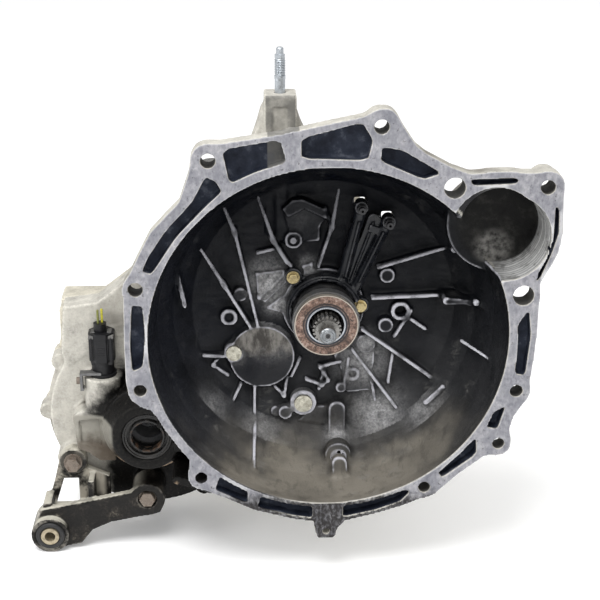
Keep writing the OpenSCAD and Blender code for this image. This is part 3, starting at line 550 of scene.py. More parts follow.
def bell_floor(V):
    """Tower of the input shaft, bearing bosses, caps, ribs and raised pads."""
    V.add(cyl(0, 0, 31.5, 88, 119), k=2)
    V.add(cyl(0, 0, 38, 88, 104), k=4)
    V.add(cyl(*OUT, 30.5, 84, 106), k=7)
    V.add(cyl(*RAIL, 11, 100, 118), k=2)
    V.add(cyl(-19, -96, 12.5, 84, 98), k=3)
    V.add(cyl(-84, -43, 9, 83.5, 98), k=3)
    V.add(cyl(13, -139, 12, 58, 84), k=4)
    for x, z, r, y in ((-77, 14, 6.5, 86), (28, -68, 7, 86), (58, -18, 7, 84), (-28, 67, 8, 84),
                       (72, -5, 9, 86), (40, -37, 9, 86.5), (17, -82, 5, 86), (-36, -106, 6.5, 84),
                       (-45, -106, 5, 88), (-88, -9, 8, 87), (59, 30, 7, 88)):
        V.add(cyl(x, z, r, y, 98), k=3)
    for a, b in FLOOR_RIBS:
        V.add(bar(a, b, 1.25, 83.5, 98, 1.5), k=2.2)
    for a, b, r in WALL_RIBS:
        V.add(rod(a, b, r, r * 0.7), k=4)
    V.add(bar((13, -102), (13, -132), 8, 80, 98), k=5)
    V.add(bar((13, -139), (14, -150), 7, 40, 72), k=6)
    for q, y in (([(-63, 34), (-37, 37), (-33, 26), (-54, 5), (-61, 9)], 88.5),
                 ([(-54, -1), (-37, 12), (-37, -6)], 89),
                 ([(-21, 41), (-10, 44), (-10, 34), (-17, 33)], 87),
                 ([(-38, 97), (-32, 74), (-21, 64), (1, 85), (1, 96), (-20, 106), (-29, 105)], 87),
                 ([(-4, 80), (-4, 65), (-21, 64)], 87.5),
                 ([(30, -28), (49, -38), (48, -57), (45, -86), (23, -88), (16, -60), (10, -50)], 89.5),
                 ([(-24, -117), (-6, -102), (17, -101), (22, -116), (-1, -121)], 89)):
        V.add(prism(q, y, 97), k=3)
    V.add(prism([(-38, 97), (-29, 105), (-20, 106), (1, 96), (2, 87), (-18, 97), (-33, 89)], 83, 90), k=1.5)
    V.cut(cyl(-28, 67, 5.2, 80, 86), k=0.8)
    V.add(cyl(-28, 67, 3.2, 82.5, 90), k=0.5)
    for pts, y in (([(-60, 10), (-36, 34)], 86.5), ([(-61, 54), (-41, 59)], 86.5),
                   ([(-49, 70), (-30, 41)], 85.5),
                   ([(-16, -73), (-1, -79), (5, -74), (-3, -60), (16, -55)], 86),
                   ([(-34, -70), (-37, -90), (-46, -80)], 87),
                   ([(82, -5), (67, -31)], 87), ([(66, -46), (62, -78)], 87),
                   ([(-116, -45), (-97, -47), (-104, -57), (-90, -68)], 87),
                   ([(7, 79), (1, 96)], 85), ([(24, -52), (20, -80)], 86.5), ([(-22, -52), (-30, -70)], 88),
                   ([(44, -66), (50, -96)], 87), ([(2, -60), (-4, -84)], 87.5),
                   ([(70, -5), (96, -24)], 87.5)):
        strip(V, pts, 1.4, y, 98)
    V.add(bar((118, 60), (133, 67), 3.2, 72, 98, 1.2), k=4)
    V.add(bar((112, 12), (146, 10), 3.5, 66, 98, 1.2), k=5)
    V.add(cyl(138, 13, 3, 58, 80), k=3)
    for a, b in (((-92, -118), (-112, -100)), ((96, -92), (112, -76)), ((-128, 10), (-134, 40))):
        V.add(bar(a, b, 2, 70, 90), k=4)


def housing_cuts(V):
    """Bolt holes, bearing and seal bores, flange pockets and pipe openings, and the flat flange face."""
    for x, z, d, r, dep in HOLES:
        V.cut(cyl(x, z, d / 2, -4, dep + 3))
        V.cut(cyl(x, z, d / 2 + 1.0, -4, 0.9, d / 2))
    V.cut(cyl(-1.5, -187, 3.2, -4, 20))
    for r, y0, y1 in ((26.02, 102, 122), (21.02, 92, 103), (15, 80, 100)):
        V.cut(cyl(0, 0, r, y0, y1))
    V.cut(cyl(*OUT, 26.02, 89, 108))
    V.cut(cyl(*DIF, 27, 13, 45))
    for r, y0, y1 in ((24.4, 40, 46.2), (23.02, 40, 57), (20.5, 56, 80), (34.02, 76, 108)):
        V.cut(cyl(*DIF, r, y0, y1))
    V.cut(cyl(*RAIL, 7, 106, 120))
    for q in POCKETS:
        V.cut(prism(chaikin(q, 1, 0.11), -4, POCKET), k=1.0)
    for x, z in PIPES:
        V.cut(box((x, 110, z), (5, 30, 4)))
    V.cut(cyl(-84, -43, 7.3, 80, 88.6))
    V.cut(cyl(-19, -96, 8.6, 80, 92))
    V.cut(cyl(72, -5, 5.4, 80, 98))
    V.cut(cyl(13, -139, 6, 50, 66))
    V.cut(cyl(28, -68, 3.2, 80, 92))
    V.cut(cyl(-88, -9, 4, 80, 91), k=1)
    for b in BR:
        V.cut(cyl(*b, 4.2, 80, 104))
    for b in CASE_B:
        V.cut(cyl(*b, 3.3, 116, 128))
    V.cut(vcyl(*SENSOR, 9.1, -92, -60))
    V.cut(vcyl(*SENSOR, 13, -64, -50))
    V.cut(vcyl(-39, 107, 5.2, 165, 204))
    V.cut(box((-40, -10, 0), (260, 10, 230)))


def build_housing():
    V = Vox((-277, -4, -220), (204, 130, 212), 1.4)
    for section in (bell_wall, bay_walls, output_tower, mount_post, outer_bosses, bell_floor, housing_cuts):
        section(V)
    return V, *V.mesh(flat=[(1, 0.0), (1, SPLIT)])


def build_gear_case():
    V = Vox((-268, 121, -216), (66, 360, 110), 2.0)
    V.add(prism(lobe(4), SPLIT, 137))
    V.add(prism(WEB, SPLIT, 137), k=2)
    V.add(rev([(0, SPLIT), (99, SPLIT), (99, 137), (95, 137), (95, 155), (57, 173), (42, 173), (42, 208),
               (0, 208)], *DIF), k=3)
    for b in CASE_B:
        V.add(cyl(*b, 8.5, SPLIT, 139), k=4)
    V.add(prism(lobe(), SPLIT, CASE_END), k=4)
    V.add(prism(lobe(5), 336, CASE_END), k=3)
    for q in COVER_B:
        V.add(cyl(*q, 7.5, 328, CASE_END), k=4)
    for y in (190, 225, 260, 295):
        V.add(prism(lobe(4), y, y + 5), k=3)
    for t in range(0, 360, 30):
        c, s = math.cos(math.radians(t)), math.sin(math.radians(t))
        V.add(bar((DIF[0] + 46 * c, DIF[1] + 46 * s), (DIF[0] + 88 * c, DIF[1] + 88 * s), 2.5, 140, 166), k=4)
        V.add(bar((DIF[0] + 42 * c, DIF[1] + 42 * s), (DIF[0] + 50 * c, DIF[1] + 50 * s), 2.5, 160, 190), k=4)
    V.add(box((-223, 143, -23.5), (25, 17, 22.5), 2), k=3)
    V.add(cyl(-243, -50, 9, 126, 150), k=3)
    V.add(bar((-247, -14), (-247, -58), 3, 126, 146), k=3)
    V.cut(box((-226, 126, -17), (14.5, 7, 8), 1.5), k=1)
    V.cut(box((-222, 126, -36), (12, 6, 6), 1.5), k=1)
    V.add(rod((-244, 128, -48), (-200, 128, -2), 3), k=3)
    V.add(xcyl(212, -30, 14, 40, 63), k=4)
    V.add(vcyl(DIF[0] + 30, 147, 13, DIF[1] - 98, DIF[1] - 84), k=3)
    V.add(vcyl(-104, 236, 19, 50, 82), k=5)
    V.add(vcyl(-62, 180, 12, 48, 68), k=4)
    V.add(vcyl(-30, 308, 8, 50, 64), k=3)
    V.add(bar((-122, -104), (-70, -134), 3, 137, 150), k=4)
    V.cut(prism(lobe(-5), 123, 334))
    V.cut(rev([(0, 120), (90, 120), (90, 150), (52, 168), (34, 168), (34, 186), (20.5, 186), (20.5, 197),
               (23, 197), (23, 212), (0, 212)], *DIF))
    for c in ((0, 0), OUT):
        V.cut(cyl(*c, 26, 337, 362))
    V.cut(cyl(*IDL, 8, 330, 350))
    for b in CASE_B:
        V.cut(cyl(*b, 4.2, 120, 141))
        V.cut(cyl(*b, 6.8, 139, 151))
    V.cut(cyl(-243, -50, 4.5, 120, 152))
    V.cut(vcyl(-104, 236, 10.1, 45, 90))
    return V, *V.mesh(flat=[(1, SPLIT), (1, CASE_END)])


def build_cover():
    V = Vox((-148, 352, -128), (70, 370, 74), 1.5)
    V.add(prism(lobe(5), CASE_END, 359))
    V.add(prism(lobe(-3), CASE_END, 364), k=1.5)
    for q in COVER_B:
        V.add(cyl(*q, 7, CASE_END, 362), k=2)
    for a, b in (((0, 0), OUT), ((0, 0), IDL), (OUT, RAIL)):
        V.add(bar(a, b, 3, 360, 366.6), k=3)
    for c in ((0, 0), OUT):
        V.add(cyl(*c, 22, 360, 365.6), k=2)
        V.cut(cyl(*c, 17, 364, 370), k=1)
    V.cut(prism(lobe(-11), 350, 357.5))
    return V, *V.mesh(flat=[(1, CASE_END)])


def build_bracket():
    V = Vox((-286, 48, -238), (-148, 95, -134), 1.0)
    V.add(prism([(-270, -192), (-160, -170), (-152, -182), (-157, -196), (-178, -201), (-204, -206),
                 (-222, -214), (-233, -228), (-262, -234), (-279, -222)], 58, 66))
    V.add(cyl(*BR[0], 16, 58, 89.7), k=3)
    V.add(cyl(*BUSH, 18, 52, 88), k=3)
    V.add(box((-216, 76.75, -197), (50, 12.75, 3), 1), k=3)
    V.add(prism([(-271, -214), (-258, -170), (-252, -146), (-240, -138), (-228, -146), (-228, -160),
                 (-206, -170), (-206, -198), (-250, -206)], 84, 91.7), k=2)
    V.add(cyl(*BR[1], 13, 80, 91.7), k=2.5)
    V.add(box((-222, 75, -182), (3, 11, 17), 1), k=3)
    V.add(box((-264, 73, -195), (4, 13, 10), 1), k=3)
    V.cut(prism([(-259, -200), (-250, -172), (-236, -172), (-236, -200)], 80, 95), k=1)
    V.add(rod((-270, 60, -194), (-160, 60, -172), 2.2), k=2)
    V.cut(cyl(*BUSH, 14.05, 46, 92))
    for b, r, y0, y1 in ((BR[0], 4.6, 48, 95), (BR[1], 4.6, 48, 95), (BR[1], 9, 48, 79), (BR[0], 9, 55, 64)):
        V.cut(cyl(*b, r, y0, y1))
    return V, *V.mesh()


def build_slave():
    V = Vox((-44, 54, -48), (72, 91, 112), 0.8)
    V.add(cyl(0, 0, 35, 76, 87.8))
    V.add(cyl(0, 0, 33, 74, 80), k=1.5)
    for q in SLV_B:
        V.add(cyl(*q, 8, 80, 87.8), k=2.5)
        V.add(bar((q[0] * 0.6, q[1] * 0.6), q, 7, 84.2, 87.8), k=2)
    for a, b in (((16, 29), (33, 97)), ((28, 20), (57, 84))):
        V.add(rod((a[0], 81, a[1]), (b[0], 81, b[1]), 5.2), k=2)
        V.add(bar(a, b, 5, 81, 87.8), k=1)
    for a, b in (((19, 34), (31, 86)), ((32, 30), (53, 76))):
        V.add(rod((a[0], 75.5, a[1]), (b[0], 75.5, b[1]), 1.3), k=1.2)
    V.add(bar((24, 24), (45, 86), 6, 81, 84), k=2)
    V.add(rod((24, 80, 28), (44, 80, 84), 1.1), k=1.5)
    V.add(box((45, 79, 78), (5, 1.6, 3.5), 0.6, (1, 20)), k=1)
    for q in PIPES:
        V.add(cyl(*q, 6, 73.8, 87.8), k=2)
    V.cut(cyl(0, 0, 30.4, 66, 84))
    V.add(cyl(0, 0, 15.4, 56, 87.8))
    V.cut(cyl(0, 0, 14, 50, 92))
    for q in SLV_B:
        V.cut(cyl(*q, 3.1, 70, 90))
        V.cut(cyl(*q, 6.6, 70, 80.1))
    for q in PIPES:
        V.cut(cyl(*q, 2.6, 72, 82))
    return V, *V.mesh()


# ---------------------------------------------------------------- mesh pieces
def rows_mesh(name, rows, caps=True, sharp=35):
    """Skin over rings of points in mm, every ring the same length."""
    bm = bmesh.new()
    vs = [[bm.verts.new([c * MM for c in p]) for p in row] for row in rows]
    n = len(rows[0])
    for a, b in zip(vs, vs[1:]):
        for i in range(n):
            j = (i + 1) % n
            bm.faces.new((a[i], a[j], b[j], b[i]))
    if caps:
        bm.faces.new(vs[0][::-1])
        bm.faces.new(vs[-1])
    bmesh.ops.recalc_face_normals(bm, faces=bm.faces)
    me = bpy.data.meshes.new(name)
    bm.to_mesh(me)
    bm.free()
    for p in me.polygons:
        p.use_smooth = True
    me.set_sharp_from_angle(angle=math.radians(sharp))
    ob = bpy.data.objects.new(name, me)
    bpy.context.scene.collection.objects.link(ob)
    return ob


def lathe(name, prof, c, n=64, close=False):
    """Turned piece about a line along Y at c (x, z): prof is (radius, y)."""
    rows = []
    for r, y in prof:
        turns = [2 * math.pi * i / n for i in range(n)]
        rows.append([(c[0] + r * math.cos(a), y, c[1] + r * math.sin(a)) for a in turns])
    if close:
        rows.append(rows[0])
    ob = rows_mesh(name, rows, caps=not close)
    if close:
        bm = bmesh.new()
        bm.from_mesh(ob.data)
        bmesh.ops.remove_doubles(bm, verts=bm.verts, dist=1e-7)
        bmesh.ops.recalc_face_normals(bm, faces=bm.faces)
        bm.to_mesh(ob.data)
        bm.free()
        for p in ob.data.polygons:
            p.use_smooth = True
        ob.data.set_sharp_from_angle(angle=math.radians(35))
    return ob


def stud():
    """Stud with a rolled thread in the middle, a plain cone tip and a plain foot."""
    rows = []
    z, pitch = 167.0, 1.5
    steps = 24
    while z <= 239.4:
        row = []
        for i in range(steps):
            a = 2 * math.pi * i / steps
            r = 4.68 if z < 211 else 5.0
            if 214 < z < 229.5:
                ph = (z / pitch - a / (2 * math.pi)) % 1
                r = 4.1 + 0.95 * (1 - abs(2 * ph - 1)) * min(1, (z - 214) / 1.5, (229.5 - z) / 1.5)
            elif z >= 229.5:
                r = 4.6 if z < 233 else 3.3 if z < 238 else 3.3 - (z - 238) * 0.9
            row.append((-39 + r * math.cos(a), 107 + r * math.sin(a), z))
        rows.append(row)
        z += 0.3 if 214 <= z < 230 else 0.5
    return rows_mesh("mount_stud_threaded", rows, sharp=60)


def block(name, parts, bevel):
    """Several boxes (centre, half size, taper at the top) in one bevelled piece."""
    bm = bmesh.new()
    for c, hs, tp in parts:
        vs = []
        for sz in (-1, 1):
            k = tp if sz > 0 else 1.0
            for sx, sy in ((-1, -1), (1, -1), (1, 1), (-1, 1)):
                vs.append(bm.verts.new(((c[0] + sx * hs[0] * k) * MM, (c[1] + sy * hs[1] * k) * MM,
                                        (c[2] + sz * hs[2]) * MM)))
        for f in ((0, 3, 2, 1), (4, 5, 6, 7), (0, 1, 5, 4), (1, 2, 6, 5), (2, 3, 7, 6), (3, 0, 4, 7)):
            bm.faces.new([vs[i] for i in f])
    me = bpy.data.meshes.new(name)
    bm.to_mesh(me)
    bm.free()
    ob = bpy.data.objects.new(name, me)
    bpy.context.scene.collection.objects.link(ob)
    m = ob.modifiers.new("edge", "BEVEL")
    m.width, m.segments, m.limit_method = bevel * MM, 2, "ANGLE"
    return ob


# ---------------------------------------------------------------- materials
class Wire:
    """A shader node's output that takes part in sums and products."""

    def __init__(s, mat, socket):
        s.mat, s.socket = mat, socket

    def __add__(s, o):
        return s.mat.math("ADD", s, o)

    def __mul__(s, o):
        return s.mat.math("MULTIPLY", s, o)

    def __sub__(s, o):
        return s.mat.math("SUBTRACT", s, o)

    def __rsub__(s, o):
        return s.mat.math("SUBTRACT", o, s)

    def __pow__(s, o):
        return s.mat.math("POWER", s, o)

    def __abs__(s):
        return s.mat.math("ABSOLUTE", s)


class Mat:
    """A Principled material with short calls for its nodes. Texture space is the part's own, in metres."""

    def __init__(s, name, metallic=0.0, rough=0.5, spec=0.5):
        s.m = bpy.data.materials.new(name)
        s.m.use_nodes = True
        s.t = s.m.node_tree
        s.b = s.t.nodes["Principled BSDF"]
        s.b.inputs["Metallic"].default_value = metallic
        s.b.inputs["Roughness"].default_value = rough
        s.b.inputs["Specular IOR Level"].default_value = spec
        s.b.inputs["Coat Roughness"].default_value = 0.1
        s.co = s.out_of("TexCoord", "Object")
        s.xyz = None

    def n(s, kind, ins=None, **props):
        x = s.t.nodes.new("ShaderNode" + kind)
        for k, v in props.items():
            setattr(x, k, v)
        for k, v in (ins or {}).items():
            s.feed(v, x.inputs[k])
        return x

    def feed(s, value, socket):
        if isinstance(value, Wire):
            s.t.links.new(value.socket, socket)
        elif socket.type == "RGBA":
            socket.default_value = (*value, 1)
        else:
            socket.default_value = value

    def out_of(s, kind, output, ins=None, **props):
        return Wire(s, s.n(kind, ins, **props).outputs[output])

    def noise(s, scale, detail=4.0, rough=0.6, dist=0.0, stretch=(1, 1, 1), at=(0, 0, 0)):
        vec = s.out_of("Mapping", 0, {"Vector": s.co, "Scale": stretch, "Location": at})
        return s.out_of("TexNoise", "Fac", {"Vector": vec, "Scale": scale, "Detail": detail,
                                            "Roughness": rough, "Distortion": dist})

    def attr(s, name):
        return s.out_of("Attribute", "Fac", attribute_name=name)

    def axis(s, i):
        if s.xyz is None:
            s.xyz = s.n("SeparateXYZ", {0: s.co})
        return Wire(s, s.xyz.outputs[i])

    def math(s, op, a, b=0.0):
        return s.out_of("Math", 0, {0: a, 1: b}, operation=op)

    def clamp(s, a):
        """The value held between 0 and 1."""
        a.socket.node.use_clamp = True
        return a

    def away(s, u, v):
        """Distance from the line where u and v are both 0."""
        return s.math("SQRT", u**2 + v**2)

    def span(s, v, a, b, lo=0.0, hi=1.0, smooth=True):
        return s.out_of("MapRange", 0, {"Value": v, "From Min": a, "From Max": b, "To Min": lo, "To Max": hi},
                        interpolation_type="SMOOTHSTEP" if smooth else "LINEAR")

    def ramp(s, fac, stops):
        x = s.n("ValToRGB", {0: fac})
        e = x.color_ramp.elements
        e[0].position, e[0].color = stops[0][0], (*stops[0][1], 1)
        e[1].position, e[1].color = stops[-1][0], (*stops[-1][1], 1)
        for p, c in stops[1:-1]:
            e.new(p).color = (*c, 1)
        return Wire(s, x.outputs[0])

    def mix(s, fac, a, b):
        return s.out_of("Mix", 2, {0: fac, 6: a, 7: b}, data_type="RGBA")

    def out(s, color=None, rough=None, metal=None, bump=None, strength=0.3, dist=0.0006):
        for k, v in (("Base Color", color), ("Roughness", rough), ("Metallic", metal)):
            if v is not None:
                s.feed(v, s.b.inputs[k])
        if bump is not None:
            s.feed(s.out_of("Bump", 0, {"Height": bump, "Strength": strength, "Distance": dist}),
                   s.b.inputs["Normal"])
        return s.m


class Casting(Mat):
    """A material with the noises, masks and axes that the parts of a casting's look share."""

    def __init__(s, name, **props):
        super().__init__(name, **props)
        s.big = s.noise(16, 3, 0.55)
        s.mid = s.noise(70, 5, 0.62, at=(3, 1, 2))
        s.fine = s.noise(420, 4, 0.7)
        s.grit = s.noise(1400, 3, 0.7)
        s.occ, s.edge = s.attr("occ"), s.attr("edge")
        s.X, s.Y, s.Z = s.axis(0), s.axis(1), s.axis(2)
        s.wander = (s.mid - 0.5) * 0.024


def output_grease_and_shade(M, col):
    """Black greased zone round the differential output with painted shade under and to the right of it, a
    pale face and a rusty arc: colour and mask.
    """
    d = M.away(M.X + 0.166, M.Z + 0.112)
    dn = d + (M.mid - 0.5) * 0.026
    # painted shade under and to the right of the output tower, merged into the black greased zone round its
    # bore
    shade_under_tower = M.span(M.X + M.wander, -0.214, -0.202) * M.span(M.Z + M.wander, -0.105, -0.122)
    shade_under_tower = shade_under_tower * M.span(M.X, -0.02, -0.06)
    grease_and_shade_mask = M.math("MAXIMUM", M.span(dn, 0.066, 0.048) * M.span(M.Y, 0.122, 0.104), shade_under_tower)
    grease_and_shade_tone = M.ramp(M.fine, [(0.35, (0.0015, 0.0015, 0.0015)), (0.56, (0.0055, 0.005, 0.0045)),
                             (0.68, (0.020, 0.018, 0.015)), (0.78, (0.13, 0.12, 0.10))])
    col = M.mix(grease_and_shade_mask, col, grease_and_shade_tone)
    face = M.span(M.Y, 0.083, 0.0795) * M.span(M.X, -0.196, -0.200) * M.span(M.Z, -0.099, -0.103)
    col = M.mix(face * 0.85, col,
                M.mix(M.span(M.Z + M.wander, -0.116, -0.136), (0.23, 0.22, 0.19), (0.070, 0.055, 0.040)))
    arc = M.span(abs(d - 0.0408), 0.0022, 0.0008) * M.span(M.Z + M.wander, -0.138, -0.144)
    arc = arc * M.span(M.Y, 0.074, 0.070)
    col = M.mix(arc * M.span(M.fine, 0.34, 0.52), col, (0.34, 0.25, 0.17))
    return col, grease_and_shade_mask


def bell_inside(M):
    """Navy black on top and brown grey low down, partly grime and partly painted shade where the overhang
    shades the top; scuffed low down, with rubbed pads, painted shade in corners and rib crests pale from wear
    and painted highlight.
    """
    # painted shade: the inside darkens toward the top, partly grime and partly the shade under the overhang
    h = M.Z + (M.big - 0.5) * 0.16
    h = h + M.span(M.Y, 0.09, 0.03) * -0.035
    inside = M.ramp(M.span(h, 0.13, -0.165, smooth=False),
                    [(0.0, (0.0014, 0.0019, 0.0036)), (0.38, (0.0026, 0.0033, 0.0056)),
                     (0.58, (0.0080, 0.0088, 0.012)), (0.78, (0.028, 0.0285, 0.031)),
                     (0.90, (0.060, 0.057, 0.053)), (1.0, (0.17, 0.155, 0.130))])
    inside = M.mix(M.span(M.X, 0.02, 0.15) * 0.55, inside,
                   M.mix(M.span(M.Z, 0.06, -0.10), (0.0042, 0.0046, 0.0050), (0.020, 0.020, 0.020)))
    inside = M.mix(M.span(M.X, -0.09, -0.15) * 0.5, inside, (0.013, 0.0145, 0.020))
    streak = M.noise(46, 5, 0.65, 0.4, stretch=(1, 1, 0.28), at=(0.4, 0, 0.1))
    smear = M.noise(120, 4, 0.6, 0.8, stretch=(0.5, 1, 1.4))
    lift = M.span(streak, 0.52, 0.72) * M.span(smear, 0.42, 0.62)
    low = M.span(M.Z, 0.02, -0.13)
    inside = M.mix(lift * (low * 0.42 + 0.12), inside, (0.17, 0.165, 0.155))
    cloud = M.span(M.noise(34, 4, 0.6, at=(5, 2, 8)), 0.42, 0.74) * M.span(M.Z, -0.13, -0.03, 0.28, 0.75)
    inside = M.mix(cloud, inside, (0.0040, 0.0044, 0.0055))
    drip = M.noise(60, 5, 0.7, 0.3, stretch=(1.6, 1, 0.22), at=(2, 0, 6))
    inside = M.mix(M.span(drip, 0.50, 0.64) * M.span(M.Z, -0.03, -0.12, 0.0, 0.3), inside,
                   (0.018, 0.017, 0.016))
    # painted shade in the corners and creases of the inside
    inside = M.mix(M.span(M.occ, 0.52, 0.74) * 0.75, inside, (0.002, 0.0025, 0.0035))
    rubbed = M.attr("rub") * M.span(M.noise(120, 4, 0.6, at=(1, 4, 9)), 0.26, 0.62, 0.35, 1.0)
    inside = M.mix(rubbed, inside, M.mix(M.span(M.fine, 0.35, 0.65), (0.25, 0.25, 0.255),
                                         (0.50, 0.495, 0.495)))
    # rib crests paler, partly worn and partly painted highlight, strongest low down where the light falls
    crest_wear_and_highlight = M.clamp(M.span(M.edge, 0.42, 0.27) * M.span(M.mid, 0.34, 0.52, 0.35, 1.0))
    inside = M.mix(crest_wear_and_highlight * M.span(M.Z, 0.13, 0.0, 0.16, 0.95), inside, (0.50, 0.50, 0.54))
    inside = M.mix(M.span(M.grit, 0.60, 0.72) * 0.25, inside, (0.06, 0.057, 0.052))
    dc = M.away(M.X - OUT[0] * MM, M.Z - OUT[1] * MM)
    middle = OUT[1] * MM
    cap = M.span(dc, 0.0305, 0.0285) * M.span(M.Y, 0.087, 0.0845)
    cap = cap * M.span(M.Z + (M.mid - 0.5) * 0.03, middle - 0.001, middle + 0.009)
    inside = M.mix(cap, inside, M.mix(M.span(M.noise(150, 4, 0.65, stretch=(1, 1, 0.4)), 0.36, 0.64),
                                      (0.050, 0.046, 0.042), (0.19, 0.18, 0.165)))
    return inside, smear


def starter_bay(M):
    """Turned steps on the wall, darker on its inner side by painted shade; a blotched near-black floor,
    partly grime and partly painted shade, with a painted highlight low on it.
    """
    # bay floor near black: partly grime, partly painted shade in the closed pocket
    floor_ = M.ramp(M.mid, [(0.36, (0.004, 0.004, 0.004)), (0.54, (0.010, 0.010, 0.0095)),
                            (0.70, (0.030, 0.029, 0.027))])
    rings = M.math("FRACT", M.Y * 260)
    wallc = M.mix(M.span(rings, 0.35, 0.65), (0.25, 0.25, 0.25), (0.42, 0.42, 0.41))
    # painted shade on the inner side of the bay wall, away from the light
    wallc = M.mix(M.span(M.X, 0.165, 0.125), wallc, (0.03, 0.03, 0.032))
    wallc = M.mix(M.span(M.mid, 0.5, 0.62) * 0.75, wallc, (0.10, 0.10, 0.095))
    # painted highlight: a pale soft patch low on the bay floor
    sb = M.away(M.X - 0.148, M.Z - 0.070)
    floor_ = M.mix(M.span(sb, 0.022, 0.008) * M.span(M.noise(110, 4, 0.6, at=(9, 1, 4)), 0.30, 0.70), floor_,
                   (0.17, 0.165, 0.155))
    return M.mix(M.span(M.Y, 0.0435, 0.0455), wallc, floor_)


def cut_post(M, col):
    """Grey sawn front of the post that holds the stud."""
    post = M.span(M.Z, 0.146, 0.156) * M.span(M.Y, 0.0945, 0.0930) * M.span(abs(M.X + 0.039), 0.0138, 0.0128)
    return M.mix(post * M.span(M.mid, 0.70, 0.40, 0.5, 0.9), col, (0.13, 0.127, 0.118))


def machined_face(M):
    """Scratched grey face toward the engine, with painted highlights on its edges, darker at its lowest part.
    """
    scr = M.noise(330, 4, 0.6, 0.3, stretch=(1.0, 1, 0.6))
    fc = M.ramp(M.mid * 0.55 + scr * 0.45,
                [(0.30, (0.10, 0.10, 0.115)), (0.44, (0.20, 0.20, 0.222)), (0.56, (0.29, 0.288, 0.305)),
                 (0.72, (0.44, 0.435, 0.44))])
    fc = M.mix(M.span(M.noise(240, 4, 0.65, at=(7, 7, 1)), 0.58, 0.70) * 0.85, fc, (0.045, 0.043, 0.045))
    fc = M.mix(M.span(M.noise(30, 4, 0.6, at=(1, 8, 3)), 0.46, 0.66) * 0.45, fc, (0.14, 0.145, 0.165))
    # painted highlight along the edges of the face
    fc = M.mix(M.span(M.edge, 0.36, 0.24) * 0.7, fc, (0.55, 0.55, 0.55))
    # darker toward the bottom of the face
    lowest_darkening = M.span(M.Z + M.wander, -0.141, -0.157) * M.span(scr, 0.70, 0.42, 0.55, 1.0)
    return M.mix(lowest_darkening, fc, (0.030, 0.028, 0.028))


def m_casting(name, skin, grime_and_shade_tone, bell=False, rough=0.62):
    """Cast aluminium skin with rubbed edges, darkened by painted shade in its corners and by grime in
    patches. The bell has its own inside and faces too.
    """
    M = Casting(name, rough=rough, spec=0.13 if bell else 0.3)
    col = M.ramp(M.mid * 0.6 + M.fine * 0.4,
                 [(0.3, [c * 0.62 for c in skin]), (0.48, skin), (0.68, [min(1, c * 1.32) for c in skin])])
    # painted shade: corners darkened through the occlusion mask, joined with patches of grime from the big
    # noise
    corner_shade_and_grime = M.clamp(M.span(M.occ, 0.5, 0.8, 0, 1.1) + M.span(M.big, 0.5, 0.72, 0, 0.75))
    col = M.mix(M.clamp(corner_shade_and_grime * M.span(M.mid, 0.3, 0.62, 0.45, 1)), col, grime_and_shade_tone)
    col = M.mix(M.clamp(M.span(M.edge, 0.44, 0.27) * M.span(M.fine, 0.35, 0.6)), col,
                [min(1, c * 1.5) for c in skin])
    col = M.mix(M.span(M.grit, 0.63, 0.75) * 0.7, col, [c * 0.35 for c in grime_and_shade_tone])
    rgh = M.span(M.mid, 0.3, 0.7, rough - 0.12, rough + 0.15)
    height = M.fine * 0.9 + M.grit * 0.35
    metal = None
    if bell:
        col, grease_and_shade_mask = output_grease_and_shade(M, col)
        inside, smear = bell_inside(M)
        ins, bay, mach = M.attr("ins"), M.attr("bay"), M.attr("mach")
        col = M.mix(ins, col, inside)
        rgh = (rgh - grease_and_shade_mask * 0.22) * (1 - ins) + ins * M.span(smear, 0.35, 0.65, 0.30, 0.60)
        # flange pockets dark navy with paler blue patches: partly grime, partly painted shade in the recesses
        # and painted sheen
        pocket = M.ramp(M.mid, [(0.35, (0.008, 0.010, 0.018)), (0.56, (0.024, 0.029, 0.043)),
                                (0.72, (0.095, 0.102, 0.125))])
        col = M.mix(M.attr("pock"), col, pocket)
        col = M.mix(bay, col, starter_bay(M))
        # painted shade: the bores of the bolt holes near black
        col = M.mix(M.attr("hole") * 0.9, col, (0.022, 0.021, 0.021))
        col = M.mix(mach, cut_post(M, col), machined_face(M))
        metal = mach * 0.45 + bay * 0.25
        rgh = rgh * (1 - mach) + mach * M.span(M.mid, 0.3, 0.7, 0.38, 0.56)
        height = height * (1 - mach * 0.85)
    else:
        # painted shadow: the lower front of the gear case, beside the bell, darkened to a deep brown
        painted_low_shadow = M.span(M.Z, -0.10, -0.17) * M.span(M.Y, 0.175, 0.14)
        col = M.mix(painted_low_shadow * M.span(M.mid, 0.30, 0.60, 0.95, 0.6), col, (0.028, 0.024, 0.019))
    return M.out(col, rgh, metal, bump=height, strength=0.45, dist=0.0011)


def m_metal(name, c, rough=0.35, metallic=0.85, wear=0.5, stain=None, grain=(1, 1, 1), bump=0.15):
    """Bare or plated steel: worn, stained in patches, with a fine lay."""
    M = Mat(name, metallic=metallic, rough=rough)
    mid = M.noise(60, 5, 0.6)
    lay = M.noise(900, 3, 0.6, stretch=grain)
    spot = M.noise(260, 4, 0.65, at=(2, 5, 1))
    col = M.ramp(mid * 0.5 + lay * 0.5,
                 [(0.3, [v * (1 - 0.5 * wear) for v in c]), (0.5, c),
                  (0.7, [min(1, v * (1 + 0.35 * wear)) for v in c])])
    st = stain or [v * 0.3 for v in c]
    col = M.mix(M.span(spot, 0.52, 0.68) * (0.8 * wear + 0.1), col, st)
    rgh = M.span(spot, 0.35, 0.65, max(0.08, rough - 0.12), min(1, rough + 0.2))
    met = M.span(spot, 0.5, 0.68, metallic, metallic * 0.45)
    return M.out(col, rgh, met, bump=lay + spot * 0.6, strength=bump, dist=0.0004)


